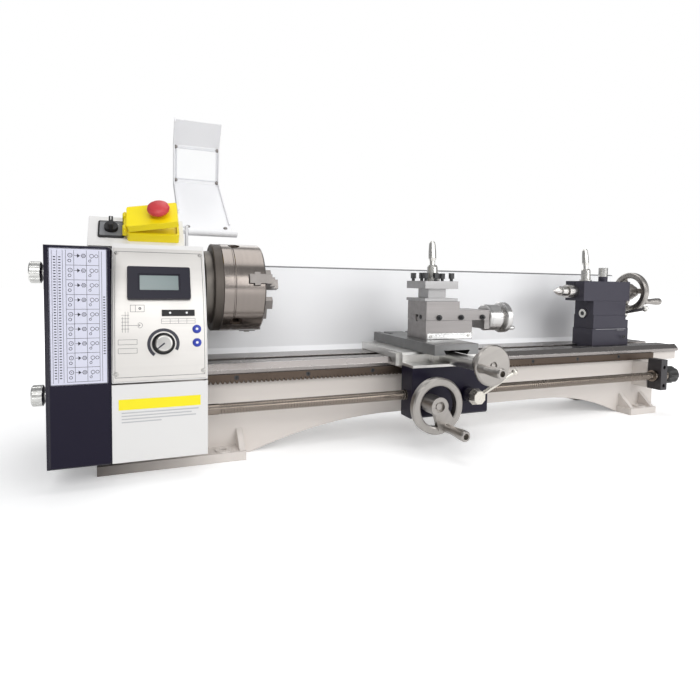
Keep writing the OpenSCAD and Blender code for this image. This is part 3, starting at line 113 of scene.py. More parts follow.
def make_soft_edge():
    # rounds the sharp edges in shading and marks them for wear
    tree, gi, go = group(
        "soft_edge",
        [("Radius", FLOAT, 0.0008)],
        [("Normal", VECTOR), ("Edge", FLOAT)],
    )
    bevel = tree.nodes.new("ShaderNodeBevel")
    bevel.samples = 4
    tree.links.new(gi.outputs["Radius"], bevel.inputs["Radius"])
    geo = tree.nodes.new("ShaderNodeNewGeometry")
    dot = vec_maths(tree, "DOT_PRODUCT", bevel.outputs[0], geo.outputs["Normal"])
    away = maths(tree, "SUBTRACT", 1.0, dot)
    tree.links.new(bevel.outputs[0], go.inputs["Normal"])
    tree.links.new(maths(tree, "MULTIPLY", away, 7.0, clamp=True), go.inputs["Edge"])
    return tree


def make_grain():
    # fine even grain of paint, castings and moulded plastic
    tree, gi, go = group(
        "surface_grain",
        [("Vector", VECTOR, None), ("Size", FLOAT, 900.0), ("Blotch", FLOAT, 9.0)],
        [("Grain", FLOAT), ("Blotches", FLOAT)],
    )
    v = gi.outputs["Vector"]
    tree.links.new(noise(tree, v, gi.outputs["Size"], 2.0), go.inputs["Grain"])
    tree.links.new(
        noise(tree, v, gi.outputs["Blotch"], 4.0), go.inputs["Blotches"]
    )
    return tree


def make_strokes():
    # long fine strokes left by grinding or brushing, along the input's X
    tree, gi, go = group(
        "ground_strokes",
        [("Vector", VECTOR, None), ("Size", FLOAT, 700.0)],
        [("Strokes", FLOAT), ("Bands", FLOAT)],
    )
    v = vec_maths(tree, "MULTIPLY", gi.outputs["Vector"], (0.03, 1.0, 1.0))
    tree.links.new(noise(tree, v, gi.outputs["Size"], 3.0, 0.7), go.inputs["Strokes"])
    slow = maths(tree, "MULTIPLY", gi.outputs["Size"], 0.12)
    tree.links.new(noise(tree, v, slow, 2.0), go.inputs["Bands"])
    return tree


def make_rings():
    # turning marks round the input's X axis
    tree, gi, go = group(
        "turned_rings",
        [("Vector", VECTOR, None), ("Size", FLOAT, 700.0)],
        [("Rings", FLOAT), ("Bands", FLOAT)],
    )
    sep = tree.nodes.new("ShaderNodeSeparateXYZ")
    tree.links.new(gi.outputs["Vector"], sep.inputs[0])
    y2 = maths(tree, "MULTIPLY", sep.outputs[1], sep.outputs[1])
    z2 = maths(tree, "MULTIPLY", sep.outputs[2], sep.outputs[2])
    radius = maths(tree, "SQRT", maths(tree, "ADD", y2, z2))
    com = tree.nodes.new("ShaderNodeCombineXYZ")
    tree.links.new(sep.outputs[0], com.inputs[0])
    tree.links.new(radius, com.inputs[1])
    v = com.outputs[0]
    tree.links.new(noise(tree, v, gi.outputs["Size"], 3.0, 0.7), go.inputs["Rings"])
    slow = maths(tree, "MULTIPLY", gi.outputs["Size"], 0.12)
    tree.links.new(noise(tree, v, slow, 2.0), go.inputs["Bands"])
    return tree


SOFT_EDGE, GRAIN, STROKES, RINGS = make_soft_edge(), make_grain(), make_strokes(), make_rings()


# ---------------------------------------------------------------- materials
class Finish:
    """One material: a Principled shader with the shared groups round it."""

    def __init__(self, name, color, rough, metal=0.0, **extra):
        self.mat = bpy.data.materials.new(name)
        self.mat.use_nodes = True
        self.tree = self.mat.node_tree
        self.tree.nodes.clear()
        out = self.tree.nodes.new("ShaderNodeOutputMaterial")
        self.shader = self.tree.nodes.new("ShaderNodeBsdfPrincipled")
        self.tree.links.new(self.shader.outputs[0], out.inputs["Surface"])
        self.coords = self.tree.nodes.new("ShaderNodeTexCoord").outputs["Object"]
        self.shader.inputs["Base Color"].default_value = (*color, 1)
        self.shader.inputs["Roughness"].default_value = rough
        self.shader.inputs["Metallic"].default_value = metal
        for label, value in extra.items():
            self.shader.inputs[label.replace("_", " ")].default_value = value

    def use(self, tree, **values):
        n = self.tree.nodes.new("ShaderNodeGroup")
        n.node_tree = tree
        for label, value in values.items():
            if isinstance(value, (int, float)):
                n.inputs[label].default_value = value
            else:
                self.tree.links.new(value, n.inputs[label])
        return n

    def mapped(self, at=(0, 0, 0), turn=(0, 0, 0)):
        # pattern space centred at a point, then turned
        n = self.tree.nodes.new("ShaderNodeMapping")
        n.vector_type = "TEXTURE"
        n.inputs["Location"].default_value = at
        n.inputs["Rotation"].default_value = turn
        self.tree.links.new(self.coords, n.inputs["Vector"])
        return n.outputs[0]

    def mix(self, fac, a, b):
        n = self.tree.nodes.new("ShaderNodeMix")
        n.data_type = "RGBA"
        for slot_name, v in (("A", a), ("B", b)):
            s = next(i for i in n.inputs if i.name == slot_name and i.type == "RGBA")
            if isinstance(v, (tuple, list)):
                s.default_value = (*v[:3], 1)
            else:
                self.tree.links.new(v, s)
        f = next(i for i in n.inputs if i.name == "Factor" and i.type == "VALUE")
        if isinstance(fac, (int, float)):
            f.default_value = fac
        else:
            self.tree.links.new(fac, f)
        return next(o for o in n.outputs if o.type == "RGBA")

    def between(self, value, low, high):
        # noise seldom leaves this span, so nothing is clipped to a flat patch
        n = self.tree.nodes.new("ShaderNodeMapRange")
        self.tree.links.new(value, n.inputs["Value"])
        n.inputs["From Min"].default_value = 0.12
        n.inputs["From Max"].default_value = 0.88
        n.inputs["To Min"].default_value = low
        n.inputs["To Max"].default_value = high
        return n.outputs[0]

    def bump(self, height, strength, distance, normal=None):
        n = self.tree.nodes.new("ShaderNodeBump")
        n.inputs["Strength"].default_value = strength
        n.inputs["Distance"].default_value = distance
        self.tree.links.new(height, n.inputs["Height"])
        if normal is not None:
            self.tree.links.new(normal, n.inputs["Normal"])
        return n.outputs[0]

    def set(self, **links):
        for label, value in links.items():
            self.tree.links.new(value, self.shader.inputs[label.replace("_", " ")])


PAINT_SHADE = 0.965   # darkest blotch of a paint, as a share of its colour


def painted(name, color, rough=0.35, size=900.0, bump=0.05, edge=0.0008, **extra):
    f = Finish(name, color, rough, **extra)
    e = f.use(SOFT_EDGE, Radius=edge)
    g = f.use(GRAIN, Vector=f.coords, Size=size)
    dark = tuple(c * PAINT_SHADE for c in color)
    tone = f.mix(f.between(g.outputs["Blotches"], 0.0, 1.0), dark, color)
    f.set(
        Base_Color=tone,
        Roughness=f.between(g.outputs["Blotches"], rough * 0.85, min(rough * 1.2, 1)),
        Normal=f.bump(g.outputs["Grain"], bump, 0.0005, e.outputs["Normal"]),
    )
    return f.mat


def metal(name, color, rough=0.3, along="x", at=(0, 0, 0), size=900.0, bump=0.10,
          edge=0.0006, wear=0.35, turned=False, contrast=0.1, **extra):
    # ground or turned steel, with lighter worn edges
    f = Finish(name, color, rough, metal=1.0, **extra)
    turn = {"x": (0, 0, 0), "y": (0, 0, math.pi / 2), "z": (0, math.pi / 2, 0)}[along]
    e = f.use(SOFT_EDGE, Radius=edge)
    g = f.use(RINGS if turned else STROKES, Vector=f.mapped(at, turn), Size=size)
    fine = g.outputs["Rings" if turned else "Strokes"]
    blotch = f.use(GRAIN, Vector=f.coords, Size=400.0, Blotch=14.0)
    dark = tuple(c * (1 - contrast) for c in color)
    light = tuple(min(c * (1 + contrast), 1) for c in color)
    tone = f.mix(f.between(g.outputs["Bands"], 0.0, 1.0), dark, light)
    bright = tuple(min(c * 1.5 + 0.08, 1) for c in color)
    tone = f.mix(maths(f.tree, "MULTIPLY", e.outputs["Edge"], wear), tone, bright)
    f.set(
        Base_Color=tone,
        Roughness=f.between(blotch.outputs["Blotches"], rough * 0.75, min(rough * 1.35, 1)),
        Normal=f.bump(fine, bump, 0.0004, e.outputs["Normal"]),
    )
    return f.mat


def chromed(name, color=(0.75, 0.74, 0.72), rough=0.13, edge=0.0006, **extra):
    f = Finish(name, color, rough, metal=1.0, **extra)
    e = f.use(SOFT_EDGE, Radius=edge)
    g = f.use(GRAIN, Vector=f.coords, Size=300.0, Blotch=30.0)
    f.set(
        Roughness=f.between(g.outputs["Blotches"], rough * 0.7, rough * 1.6),
        Normal=f.bump(g.outputs["Grain"], 0.006, 0.0003, e.outputs["Normal"]),
    )
    return f.mat


WAY_LIP = 0.1125      # height of the machined edge of the ways
FOOT_TOP = 0.0125     # height of the mounting feet


def make_bed_finish():
    f = Finish("bed_paint", (0.86, 0.85, 0.82), 0.42)
    e = f.use(SOFT_EDGE, Radius=0.0016)
    g = f.use(GRAIN, Vector=f.coords, Size=650.0, Blotch=7.0)
    s = f.use(STROKES, Vector=f.coords, Size=800.0)
    sep = f.tree.nodes.new("ShaderNodeSeparateXYZ")
    f.tree.links.new(f.coords, sep.inputs[0])
    ground = maths(f.tree, "GREATER_THAN", sep.outputs[2], WAY_LIP - 0.0001)
    # painted shade: the white casting's paint is given a darker warm grey, standing in for the shade and warm
    # floor light on its front
    paint = f.mix(f.between(g.outputs["Blotches"], 0.0, 1.0),
                  (0.68, 0.63, 0.59), (0.72, 0.672, 0.632))
    # painted shade: the front of the mounting foot under the headstock darkens towards its outer end
    shade_end, shade_length = 0.60, 0.20
    along = maths(f.tree, "ADD", sep.outputs[0], shade_end)
    away = f.between(maths(f.tree, "DIVIDE", along, shade_length), 1.0, 0.0)
    low = maths(f.tree, "LESS_THAN", sep.outputs[2], FOOT_TOP)
    front = maths(f.tree, "LESS_THAN", sep.outputs[1], -0.06)
    painted_shade = maths(f.tree, "MULTIPLY", away, maths(f.tree, "MULTIPLY", low, front))
    paint = f.mix(painted_shade, paint, (0.035, 0.022, 0.016))
    steel = f.mix(f.between(s.outputs["Bands"], 0.0, 1.0),
                  (0.56, 0.55, 0.54), (0.74, 0.73, 0.72))
    # painted shade: the upright faces of the ground ways are darker than their tops
    side = maths(f.tree, "LESS_THAN", sep.outputs[2], box("bed")[1].z - 0.0004)
    steel = f.mix(side, steel, (0.27, 0.25, 0.24))
    steel = f.mix(maths(f.tree, "MULTIPLY", e.outputs["Edge"], 0.4), steel, (0.8, 0.78, 0.75))
    rough = f.between(g.outputs["Blotches"], 0.34, 0.5)
    rough = maths(f.tree, "SUBTRACT", rough, maths(f.tree, "MULTIPLY", ground, 0.16))
    grain = maths(f.tree, "MULTIPLY", g.outputs["Grain"], maths(f.tree, "SUBTRACT", 1.0, ground))
    line = maths(f.tree, "MULTIPLY", s.outputs["Strokes"], ground)
    f.set(
        Base_Color=f.mix(ground, paint, steel),
        Metallic=ground,
        Roughness=rough,
        Normal=f.bump(maths(f.tree, "ADD", grain, line), 0.12, 0.0005, e.outputs["Normal"]),
    )
    return f.mat


SPINDLE_AT = tuple(joint_point("spindle_spin"))
finishes = {
    "bed_paint": make_bed_finish(),
    "dark_steel": metal("dark_steel", (0.105, 0.08, 0.064), 0.5),
    "black_steel": painted("black_steel", (0.03, 0.03, 0.032), 0.35, 500.0, 0.05, 0.0004),
    "guard_sheet": painted("guard_sheet", (0.95, 0.953, 0.965), 0.3, 500.0, 0.0),
    "casting_paint": painted("casting_paint", (0.62, 0.62, 0.62), 0.45, 700.0, 0.12),
    "bearing_steel": chromed("bearing_steel", (0.62, 0.62, 0.64), 0.2),
    "white_paint": painted("white_paint", (0.76, 0.752, 0.742), 0.3, 800.0, 0.01),
    "panel_aluminium": metal("panel_aluminium", (0.66, 0.64, 0.615), 0.42, wear=0.1, size=1300.0,
                             contrast=0.035, bump=0.05),
    "screw_steel": chromed("screw_steel", (0.60, 0.59, 0.57), 0.25),
    "display_plastic": painted("display_plastic", (0.012, 0.011, 0.022), 0.4, 700.0, 0.02, 0.0005,
                               Specular_IOR_Level=0.3),
    "grey_plastic": painted("grey_plastic", (0.20, 0.205, 0.215), 0.5, 1200.0, 0.1, 0.0005),
    "black_plastic": painted("black_plastic", (0.010, 0.010, 0.011), 0.45, 1200.0, 0.1, 0.0005,
                             Specular_IOR_Level=0.35),
    "yellow_plastic": painted("yellow_plastic", (0.97, 0.79, 0.005), 0.3, 900.0, 0.04, 0.001),
    "red_plastic": painted("red_plastic", (0.60, 0.045, 0.055), 0.38, 900.0, 0.03, 0.001),
    "grey_steel": painted("grey_steel", (0.80, 0.80, 0.81), 0.35, 700.0, 0.04, 0.0005),
    "guard_paint": painted("guard_paint", (0.86, 0.86, 0.875), 0.3, 700.0, 0.0, 0.0006),
    "motor_paint": painted("motor_paint", (0.03, 0.03, 0.033), 0.4, 700.0, 0.08),
    "pulley_aluminium": metal("pulley_aluminium", (0.70, 0.70, 0.71), 0.3, turned=True,
                              at=SPINDLE_AT),
    "belt_rubber": painted("belt_rubber", (0.02, 0.02, 0.02), 0.7, 900.0, 0.15),
    "dark_casting": painted("dark_casting", (0.10, 0.10, 0.11), 0.5, 600.0, 0.15),
    "gear_steel": metal("gear_steel", (0.50, 0.48, 0.45), 0.35),
    "navy_paint": painted("navy_paint", (0.007, 0.005, 0.018), 0.3, 800.0, 0.03, 0.0008,
                          Specular_IOR_Level=0.2),
    "knurled_steel": chromed("knurled_steel", (0.62, 0.62, 0.60), 0.28),
    "spindle_steel": metal("spindle_steel", (0.16, 0.145, 0.13), 0.4, turned=True, at=SPINDLE_AT),
    # the backplate is darker than its steel, partly painted shade of the gap behind the chuck
    "plate_iron": metal("plate_iron", (0.10, 0.088, 0.078), 0.5, turned=True, at=SPINDLE_AT),
    "chuck_steel": metal("chuck_steel", (0.26, 0.23, 0.21), 0.2, turned=True, at=SPINDLE_AT,
                         size=1500.0, bump=0.05, contrast=0.05),
    "jaw_steel": metal("jaw_steel", (0.20, 0.185, 0.175), 0.34, along="y"),
    "screw_bar_steel": metal("screw_bar_steel", (0.24, 0.205, 0.175), 0.24),
    "black_casting": painted("black_casting", (0.025, 0.022, 0.025), 0.4, 700.0, 0.1),
    "ground_iron": metal("ground_iron", (0.68, 0.67, 0.65), 0.36, along="y", size=900.0),
    "navy_casting": painted("navy_casting", (0.007, 0.005, 0.018), 0.36, 500.0, 0.12, 0.0015,
                            Specular_IOR_Level=0.25),
    "nut_bronze": metal("nut_bronze", (0.62, 0.44, 0.20), 0.35),
    "chrome": chromed("chrome", (0.66, 0.63, 0.57), 0.22, 0.0006),
    "wheel_steel": metal("wheel_steel", (0.36, 0.34, 0.32), 0.3, along="y", turned=True, wear=0.4),
    "slide_iron": metal("slide_iron", (0.22, 0.22, 0.22), 0.42, along="x", size=800.0),
    "dial_steel": chromed("dial_steel", (0.60, 0.59, 0.58), 0.26, 0.001),
    "post_steel": metal("post_steel", (0.33, 0.325, 0.325), 0.34, along="x", contrast=0.14),
    "handle_steel": chromed("handle_steel", (0.62, 0.61, 0.58), 0.24, 0.0005),
    "slate_casting": painted("slate_casting", (0.045, 0.042, 0.060), 0.4, 500.0, 0.12, 0.0012,
                             Specular_IOR_Level=0.3),
    "quill_steel": metal("quill_steel", (0.60, 0.58, 0.56), 0.22, turned=True, at=SPINDLE_AT),
    "ink": painted("ink", (0.035, 0.035, 0.05), 0.5, 900.0, 0.02, 0.0001),
    "lcd_glass": painted("lcd_glass", (0.20, 0.25, 0.25), 0.14, 500.0, 0.02, 0.0002),
    "white_print": painted("white_print", (0.85, 0.85, 0.85), 0.4, 900.0, 0.02, 0.0002),
    "pale_print": painted("pale_print", (0.50, 0.50, 0.52), 0.45, 900.0, 0.02, 0.0002),
    "blue_plastic": painted("blue_plastic", (0.02, 0.045, 0.40), 0.32, 900.0, 0.03, 0.0004),
    "chart_plate": painted("chart_plate", (0.68, 0.685, 0.80), 0.35, 900.0, 0.02, 0.0003),
    "yellow_print": painted("yellow_print", (0.93, 0.80, 0.005), 0.35, 900.0, 0.02, 0.0003),
    "guard_edge": painted("guard_edge", (0.74, 0.74, 0.77), 0.35, 700.0, 0.02, 0.0004),
    "bright_plate": metal("bright_plate", (0.80, 0.80, 0.79), 0.24, size=1200.0, wear=0.1,
                          contrast=0.05),
    "slide_steel": metal("slide_steel", (0.28, 0.265, 0.26), 0.34, size=1000.0, contrast=0.16),
}


def two_part(first, second, axis, limit, metal_first, metal_second):
    """Gives a finish a second colour and roughness past a limit along an axis."""
    mat = finishes[first]
    tree = mat.node_tree
    shader = next(n for n in tree.nodes if n.type == "BSDF_PRINCIPLED")
    coords = next(n for n in tree.nodes if n.type == "TEX_COORD").outputs["Object"]
    sep = tree.nodes.new("ShaderNodeSeparateXYZ")
    tree.links.new(coords, sep.inputs[0])
    past = maths(tree, "GREATER_THAN", sep.outputs[axis], limit)
    color, rough = second
    changes = (("Base Color", "RGBA", (*color, 1)), ("Roughness", "VALUE", rough))
    for label, kind, value in changes:
        old = shader.inputs[label].links[0].from_socket
        n = tree.nodes.new("ShaderNodeMix")
        n.data_type = "RGBA" if kind == "RGBA" else "FLOAT"
        a = next(i for i in n.inputs if i.name == "A" and i.type == kind)
        b = next(i for i in n.inputs if i.name == "B" and i.type == kind)
        f = next(i for i in n.inputs if i.name == "Factor" and i.type == "VALUE")
        tree.links.new(past, f)
        tree.links.new(old, a)
        b.default_value = value
        tree.links.new(next(o for o in n.outputs if o.type == kind), shader.inputs[label])
    if metal_first != metal_second:
        change = maths(tree, "MULTIPLY", past, metal_second - metal_first)
        tree.links.new(maths(tree, "ADD", change, metal_first), shader.inputs["Metallic"])


def top_of(name):
    return box(name)[1].z


SHEET_EDGE = 0.0028   # dark top edge of the splash guard
STUB = 0.0175         # bright stub on top of the tailstock
KNOB_GAP = 0.0086     # from the lead screw's bracket to the black part of its end
X, Z = 0, 2
two_part("guard_sheet", ((0.16, 0.16, 0.17), 0.4), Z, top_of("splash_guard") - SHEET_EDGE, 0, 0)
two_part("slate_casting", ((0.62, 0.61, 0.59), 0.2), Z, top_of("tail_body") - STUB, 0, 1)
two_part("screw_bar_steel", ((0.02, 0.02, 0.02), 0.45), X,
         box("screw_bracket")[1].x + KNOB_GAP, 1, 0)


def make_window():
    f = Finish("clear_window", (0.90, 0.92, 0.94), 0.08)
    f.shader.inputs["Alpha"].default_value = 0.14
    return f.mat


finishes["clear_window"] = make_window()

node_slot = {s["node"]: s["material_slot"] for s in frame["record"]["subparts"]}
# two slides are ground darker than the saddle they share a slot with
node_finish = {"compound_base": "slide_steel", "top_slide": "slide_steel"}
for name, obj in nodes.items():
    mat = finishes[node_finish.get(name, node_slot[name])]
    if obj.data.materials:
        for i in range(len(obj.data.materials)):
            obj.data.materials[i] = mat
    else:
        obj.data.materials.append(mat)


# ---------------------------------------------------------------- repeats
def repeat_tree(name, inputs):
    tree = bpy.data.node_groups.new(name, "GeometryNodeTree")
    add = tree.interface.new_socket
    add("Geometry", in_out="INPUT", socket_type="NodeSocketGeometry")
    for label, kind in inputs:
        add(label, in_out="INPUT", socket_type=kind)
    add("Geometry", in_out="OUTPUT", socket_type="NodeSocketGeometry")
    gi, go = tree.nodes.new("NodeGroupInput"), tree.nodes.new("NodeGroupOutput")
    line = tree.nodes.new("GeometryNodeMeshLine")
    line.mode = "OFFSET"
    copies = tree.nodes.new("GeometryNodeInstanceOnPoints")
    real = tree.nodes.new("GeometryNodeRealizeInstances")
    dress = tree.nodes.new("GeometryNodeSetMaterial")
    join = tree.links.new
    join(gi.outputs["Count"], line.inputs["Count"])
    join(line.outputs[0], copies.inputs["Points"])
    join(gi.outputs["Geometry"], copies.inputs["Instance"])
    join(copies.outputs[0], real.inputs[0])
    join(real.outputs[0], dress.inputs["Geometry"])
    join(gi.outputs["Finish"], dress.inputs["Material"])
    join(dress.outputs[0], go.inputs[0])
    return tree, gi, line, copies


def make_row_tree():
    # copies of a form, one step apart
    inputs = [("Count", "NodeSocketInt"), ("Step", VECTOR), ("Finish", "NodeSocketMaterial")]
    tree, gi, line, _ = repeat_tree("in_a_row", inputs)
    tree.links.new(gi.outputs["Step"], line.inputs["Offset"])
    return tree


def make_round_tree():
    # copies of a form, turned step by step round the Z axis
    inputs = [("Count", "NodeSocketInt"), ("Step", FLOAT), ("Finish", "NodeSocketMaterial")]
    tree, gi, line, copies = repeat_tree("round_an_axis", inputs)
    line.inputs["Offset"].default_value = (0, 0, 0)
    index = tree.nodes.new("GeometryNodeInputIndex")
    angle = maths(tree, "MULTIPLY", index.outputs[0], gi.outputs["Step"])
    euler = tree.nodes.new("ShaderNodeCombineXYZ")
    tree.links.new(angle, euler.inputs["Z"])
    turn = tree.nodes.new("FunctionNodeEulerToRotation")
    tree.links.new(euler.outputs[0], turn.inputs[0])
    tree.links.new(turn.outputs[0], copies.inputs["Rotation"])
    return tree


IN_A_ROW, ROUND_AN_AXIS = make_row_tree(), make_round_tree()


def repeated(mesh, tree, finish, count, step):
    obj = bpy.data.objects.new("form", mesh)
    scene.collection.objects.link(obj)
    mod = obj.modifiers.new("repeat", "NODES")
    mod.node_group = tree
    values = {"Count": count, "Step": step, "Finish": finish}
    for item in tree.interface.items_tree:
        if item.in_out == "INPUT" and item.name in values:
            mod[item.identifier] = values[item.name]
    graph = bpy.context.evaluated_depsgraph_get()
    done = bpy.data.meshes.new_from_object(obj.evaluated_get(graph))
    bpy.data.objects.remove(obj)
    return done


# ---------------------------------------------------------------- forms
FACE_STEP = 4.0       # longest face on a curved front, in millimetres
LEAST_R = 0.02        # radius that stands for a point on the axis


class Form:
    """Slabs, strokes and turned shapes gathered in one mesh.

    place turns local millimetres (along, up, out) into the object's metres.
    """

    def __init__(self, place=None):
        self.place = place or (lambda u, v, w: Vector((u, v, w)) * MM)
        self.bm = bmesh.new()

    def loft(self, loops, close=False):
        # loops of points of one length, joined one to the next
        rows = [[self.bm.verts.new(self.place(*p)) for p in loop] for loop in loops]
        n = len(rows[0])
        pairs = list(zip(rows, rows[1:])) + ([(rows[-1], rows[0])] if close else [])
        for a, b in pairs:
            for i in range(n):
                k = (i + 1) % n
                self.bm.faces.new((a[i], a[k], b[k], b[i]))
        if not close:
            self.bm.faces.new(rows[0][::-1])
            self.bm.faces.new(rows[-1])

    def slab(self, outline, w0, w1):
        self.loft([[(u, v, w) for u, v in outline] for w in (w0, w1)])

    def patch(self, u0, u1, v0, v1, w0, w1):
        # rectangle cut finely enough to follow a curved face
        n = max(1, math.ceil(abs(v1 - v0) / FACE_STEP))
        rows = []
        for i in range(n + 1):
            v = v0 + (v1 - v0) * i / n
            rows.append([(u0, v, w0), (u0, v, w1), (u1, v, w1), (u1, v, w0)])
        self.loft(rows)

    def stroke(self, points, width, w0, w1, close=False):
        # flat line of one width along a run of points
        pts = [Vector(p) for p in points]
        if close:
            pts.append(pts[0])
        for a, b in zip(pts, pts[1:]):
            d = (b - a).normalized()
            side = Vector((-d.y, d.x)) * width / 2
            a, b = a - d * width / 2, b + d * width / 2
            n = max(1, math.ceil(abs(b.y - a.y) / FACE_STEP))
            rows = []
            for i in range(n + 1):
                c = a.lerp(b, i / n)
                p, q = c + side, c - side
                rows.append([(p.x, p.y, w0), (p.x, p.y, w1), (q.x, q.y, w1), (q.x, q.y, w0)])
            self.loft(rows)

    def arc(self, cu, cv, r, width, w0, w1, a0=0.0, a1=360.0, n=None):
        n = n or max(8, int(abs(a1 - a0) / 12))
        full = abs(a1 - a0) > 359.9
        rows = []
        for i in range(n if full else n + 1):
            a = math.radians(a0 + (a1 - a0) * i / n)
            c, s = math.cos(a), math.sin(a)
            lo, hi = r - width / 2, r + width / 2
            rows.append([(cu + lo * c, cv + lo * s, w0), (cu + lo * c, cv + lo * s, w1),
                         (cu + hi * c, cv + hi * s, w1), (cu + hi * c, cv + hi * s, w0)])
        self.loft(rows, close=full)

    @staticmethod
    def ring(cu, cv, r, w, n):
        turns = [i * math.tau / n for i in range(n)]
        return [(cu + r * math.cos(a), cv + r * math.sin(a), w) for a in turns]

    def turned(self, profile, cu=0.0, cv=0.0, n=28):
        # profile of (radius, out) from the axis at the bottom to the axis at the top
        self.loft([self.ring(cu, cv, max(r, LEAST_R), w, n) for r, w in profile])

    def socket_screw(self, r, h, socket, cu=0.0, cv=0.0, n=24):
        # screw head with rounded rim and hexagon socket
        rows = [self.ring(cu, cv, q, w, n) for q, w in ((r, 0), (r, h * 0.8), (r * 0.9, h))]
        hexa = []
        for i in range(n):
            a = i * math.tau / n
            b = (a % (math.pi / 3)) - math.pi / 6
            q = socket * math.cos(math.pi / 6) / math.cos(b)
            hexa.append((cu + q * math.cos(a), cv + q * math.sin(a)))
        rows.append([(u, v, h) for u, v in hexa])
        rows.append([(u, v, h * 0.35) for u, v in hexa])
        self.loft(rows)

    def mesh(self, name="form"):
        bmesh.ops.remove_doubles(self.bm, verts=self.bm.verts, dist=1e-8)
        bmesh.ops.recalc_face_normals(self.bm, faces=self.bm.faces)
        mesh = bpy.data.meshes.new(name)
        self.bm.to_mesh(mesh)
        self.bm.free()
        return mesh


def fit(name, mesh, body, finish):
    """Puts a piece on its body, dressed in its finish."""
    obj = bpy.data.objects.new(name, mesh)
    mesh.name = name
    scene.collection.objects.link(obj)
    mesh.materials.clear()
    mesh.materials.append(finish)
    for poly in mesh.polygons:
        poly.material_index = 0
        poly.use_smooth = False
    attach(obj, body)
    return obj


def joined(*meshes):
    bm = bmesh.new()
    for m in meshes:
        bm.from_mesh(m)
    mesh = bpy.data.meshes.new("joined")
    bm.to_mesh(mesh)
    bm.free()
    return mesh


def rounded(u0, u1, v0, v1, r, n=5):
    # outline of a rectangle with rounded corners
    pts = []
    corners = ((u1 - r, v0 + r, -90), (u1 - r, v1 - r, 0),
               (u0 + r, v1 - r, 90), (u0 + r, v0 + r, 180))
    for cu, cv, a in corners:
        for i in range(n + 1):
            b = math.radians(a + 90 * i / n)
            pts.append((cu + r * math.cos(b), cv + r * math.sin(b)))
    return pts


# ---------------------------------------------------------------- faces of the machine
# local frames (along, up, out) in millimetres
PANEL_Y, PANEL_Z, PANEL_R = 174.0, 120.0, 300.0   # axis and radius of the curved front
PANEL_X = box("control_panel")[0].x / MM
SLOPE_X, SLOPE_Y = box("control_box")[0].x / MM, box("control_box")[0].y / MM
SLOPE_Z = box("control_box")[0].z / MM
SLOPE_RISE = box("control_box")[1].z / MM - SLOPE_Z
SLOPE = math.atan2(SLOPE_RISE, 0.95 * SLOPE_RISE)


def curved_panel(u, v, w):
    a = v / PANEL_R
    r = PANEL_R + w
    return Vector((PANEL_X + u, PANEL_Y - r * math.cos(a), PANEL_Z + r * math.sin(a))) * MM


def tangent_panel(u0, v0):
    # flat frame that touches the curved front at (u0, v0)
    a = v0 / PANEL_R
    c, s = math.cos(a), math.sin(a)

    def place(u, v, w):
        y = PANEL_Y - PANEL_R * c + v * s - w * c
        z = PANEL_Z + PANEL_R * s + v * c + w * s
        return Vector((PANEL_X + u0 + u, y, z)) * MM
    return place


def slope_face(u, v, w):
    c, s = math.cos(SLOPE), math.sin(SLOPE)
    return Vector((SLOPE_X + u, SLOPE_Y + v * c - w * s, SLOPE_Z + v * s + w * c)) * MM


def front_face(y):
    # upright face that looks to the front, at this Y
    return lambda u, v, w: Vector((u, y - w, v)) * MM


def left_face(x):
    # upright face that looks to the left end, at this X
    return lambda u, v, w: Vector((x - w, -u, v)) * MM


def axis_matrix(at, axis):
    # turns the Z axis into the given axis and moves the origin to a point
    turn = Vector((0, 0, 1)).rotation_difference(Vector(axis))
    return Matrix.Translation(Vector(at)) @ turn.to_matrix().to_4x4()


# ---------------------------------------------------------------- control panel
# places on the panel, along and up its curve
DISPLAY = (50.6, 116.6)
SPEED = (54.3, 44.0)
BUTTON_U = 92.3


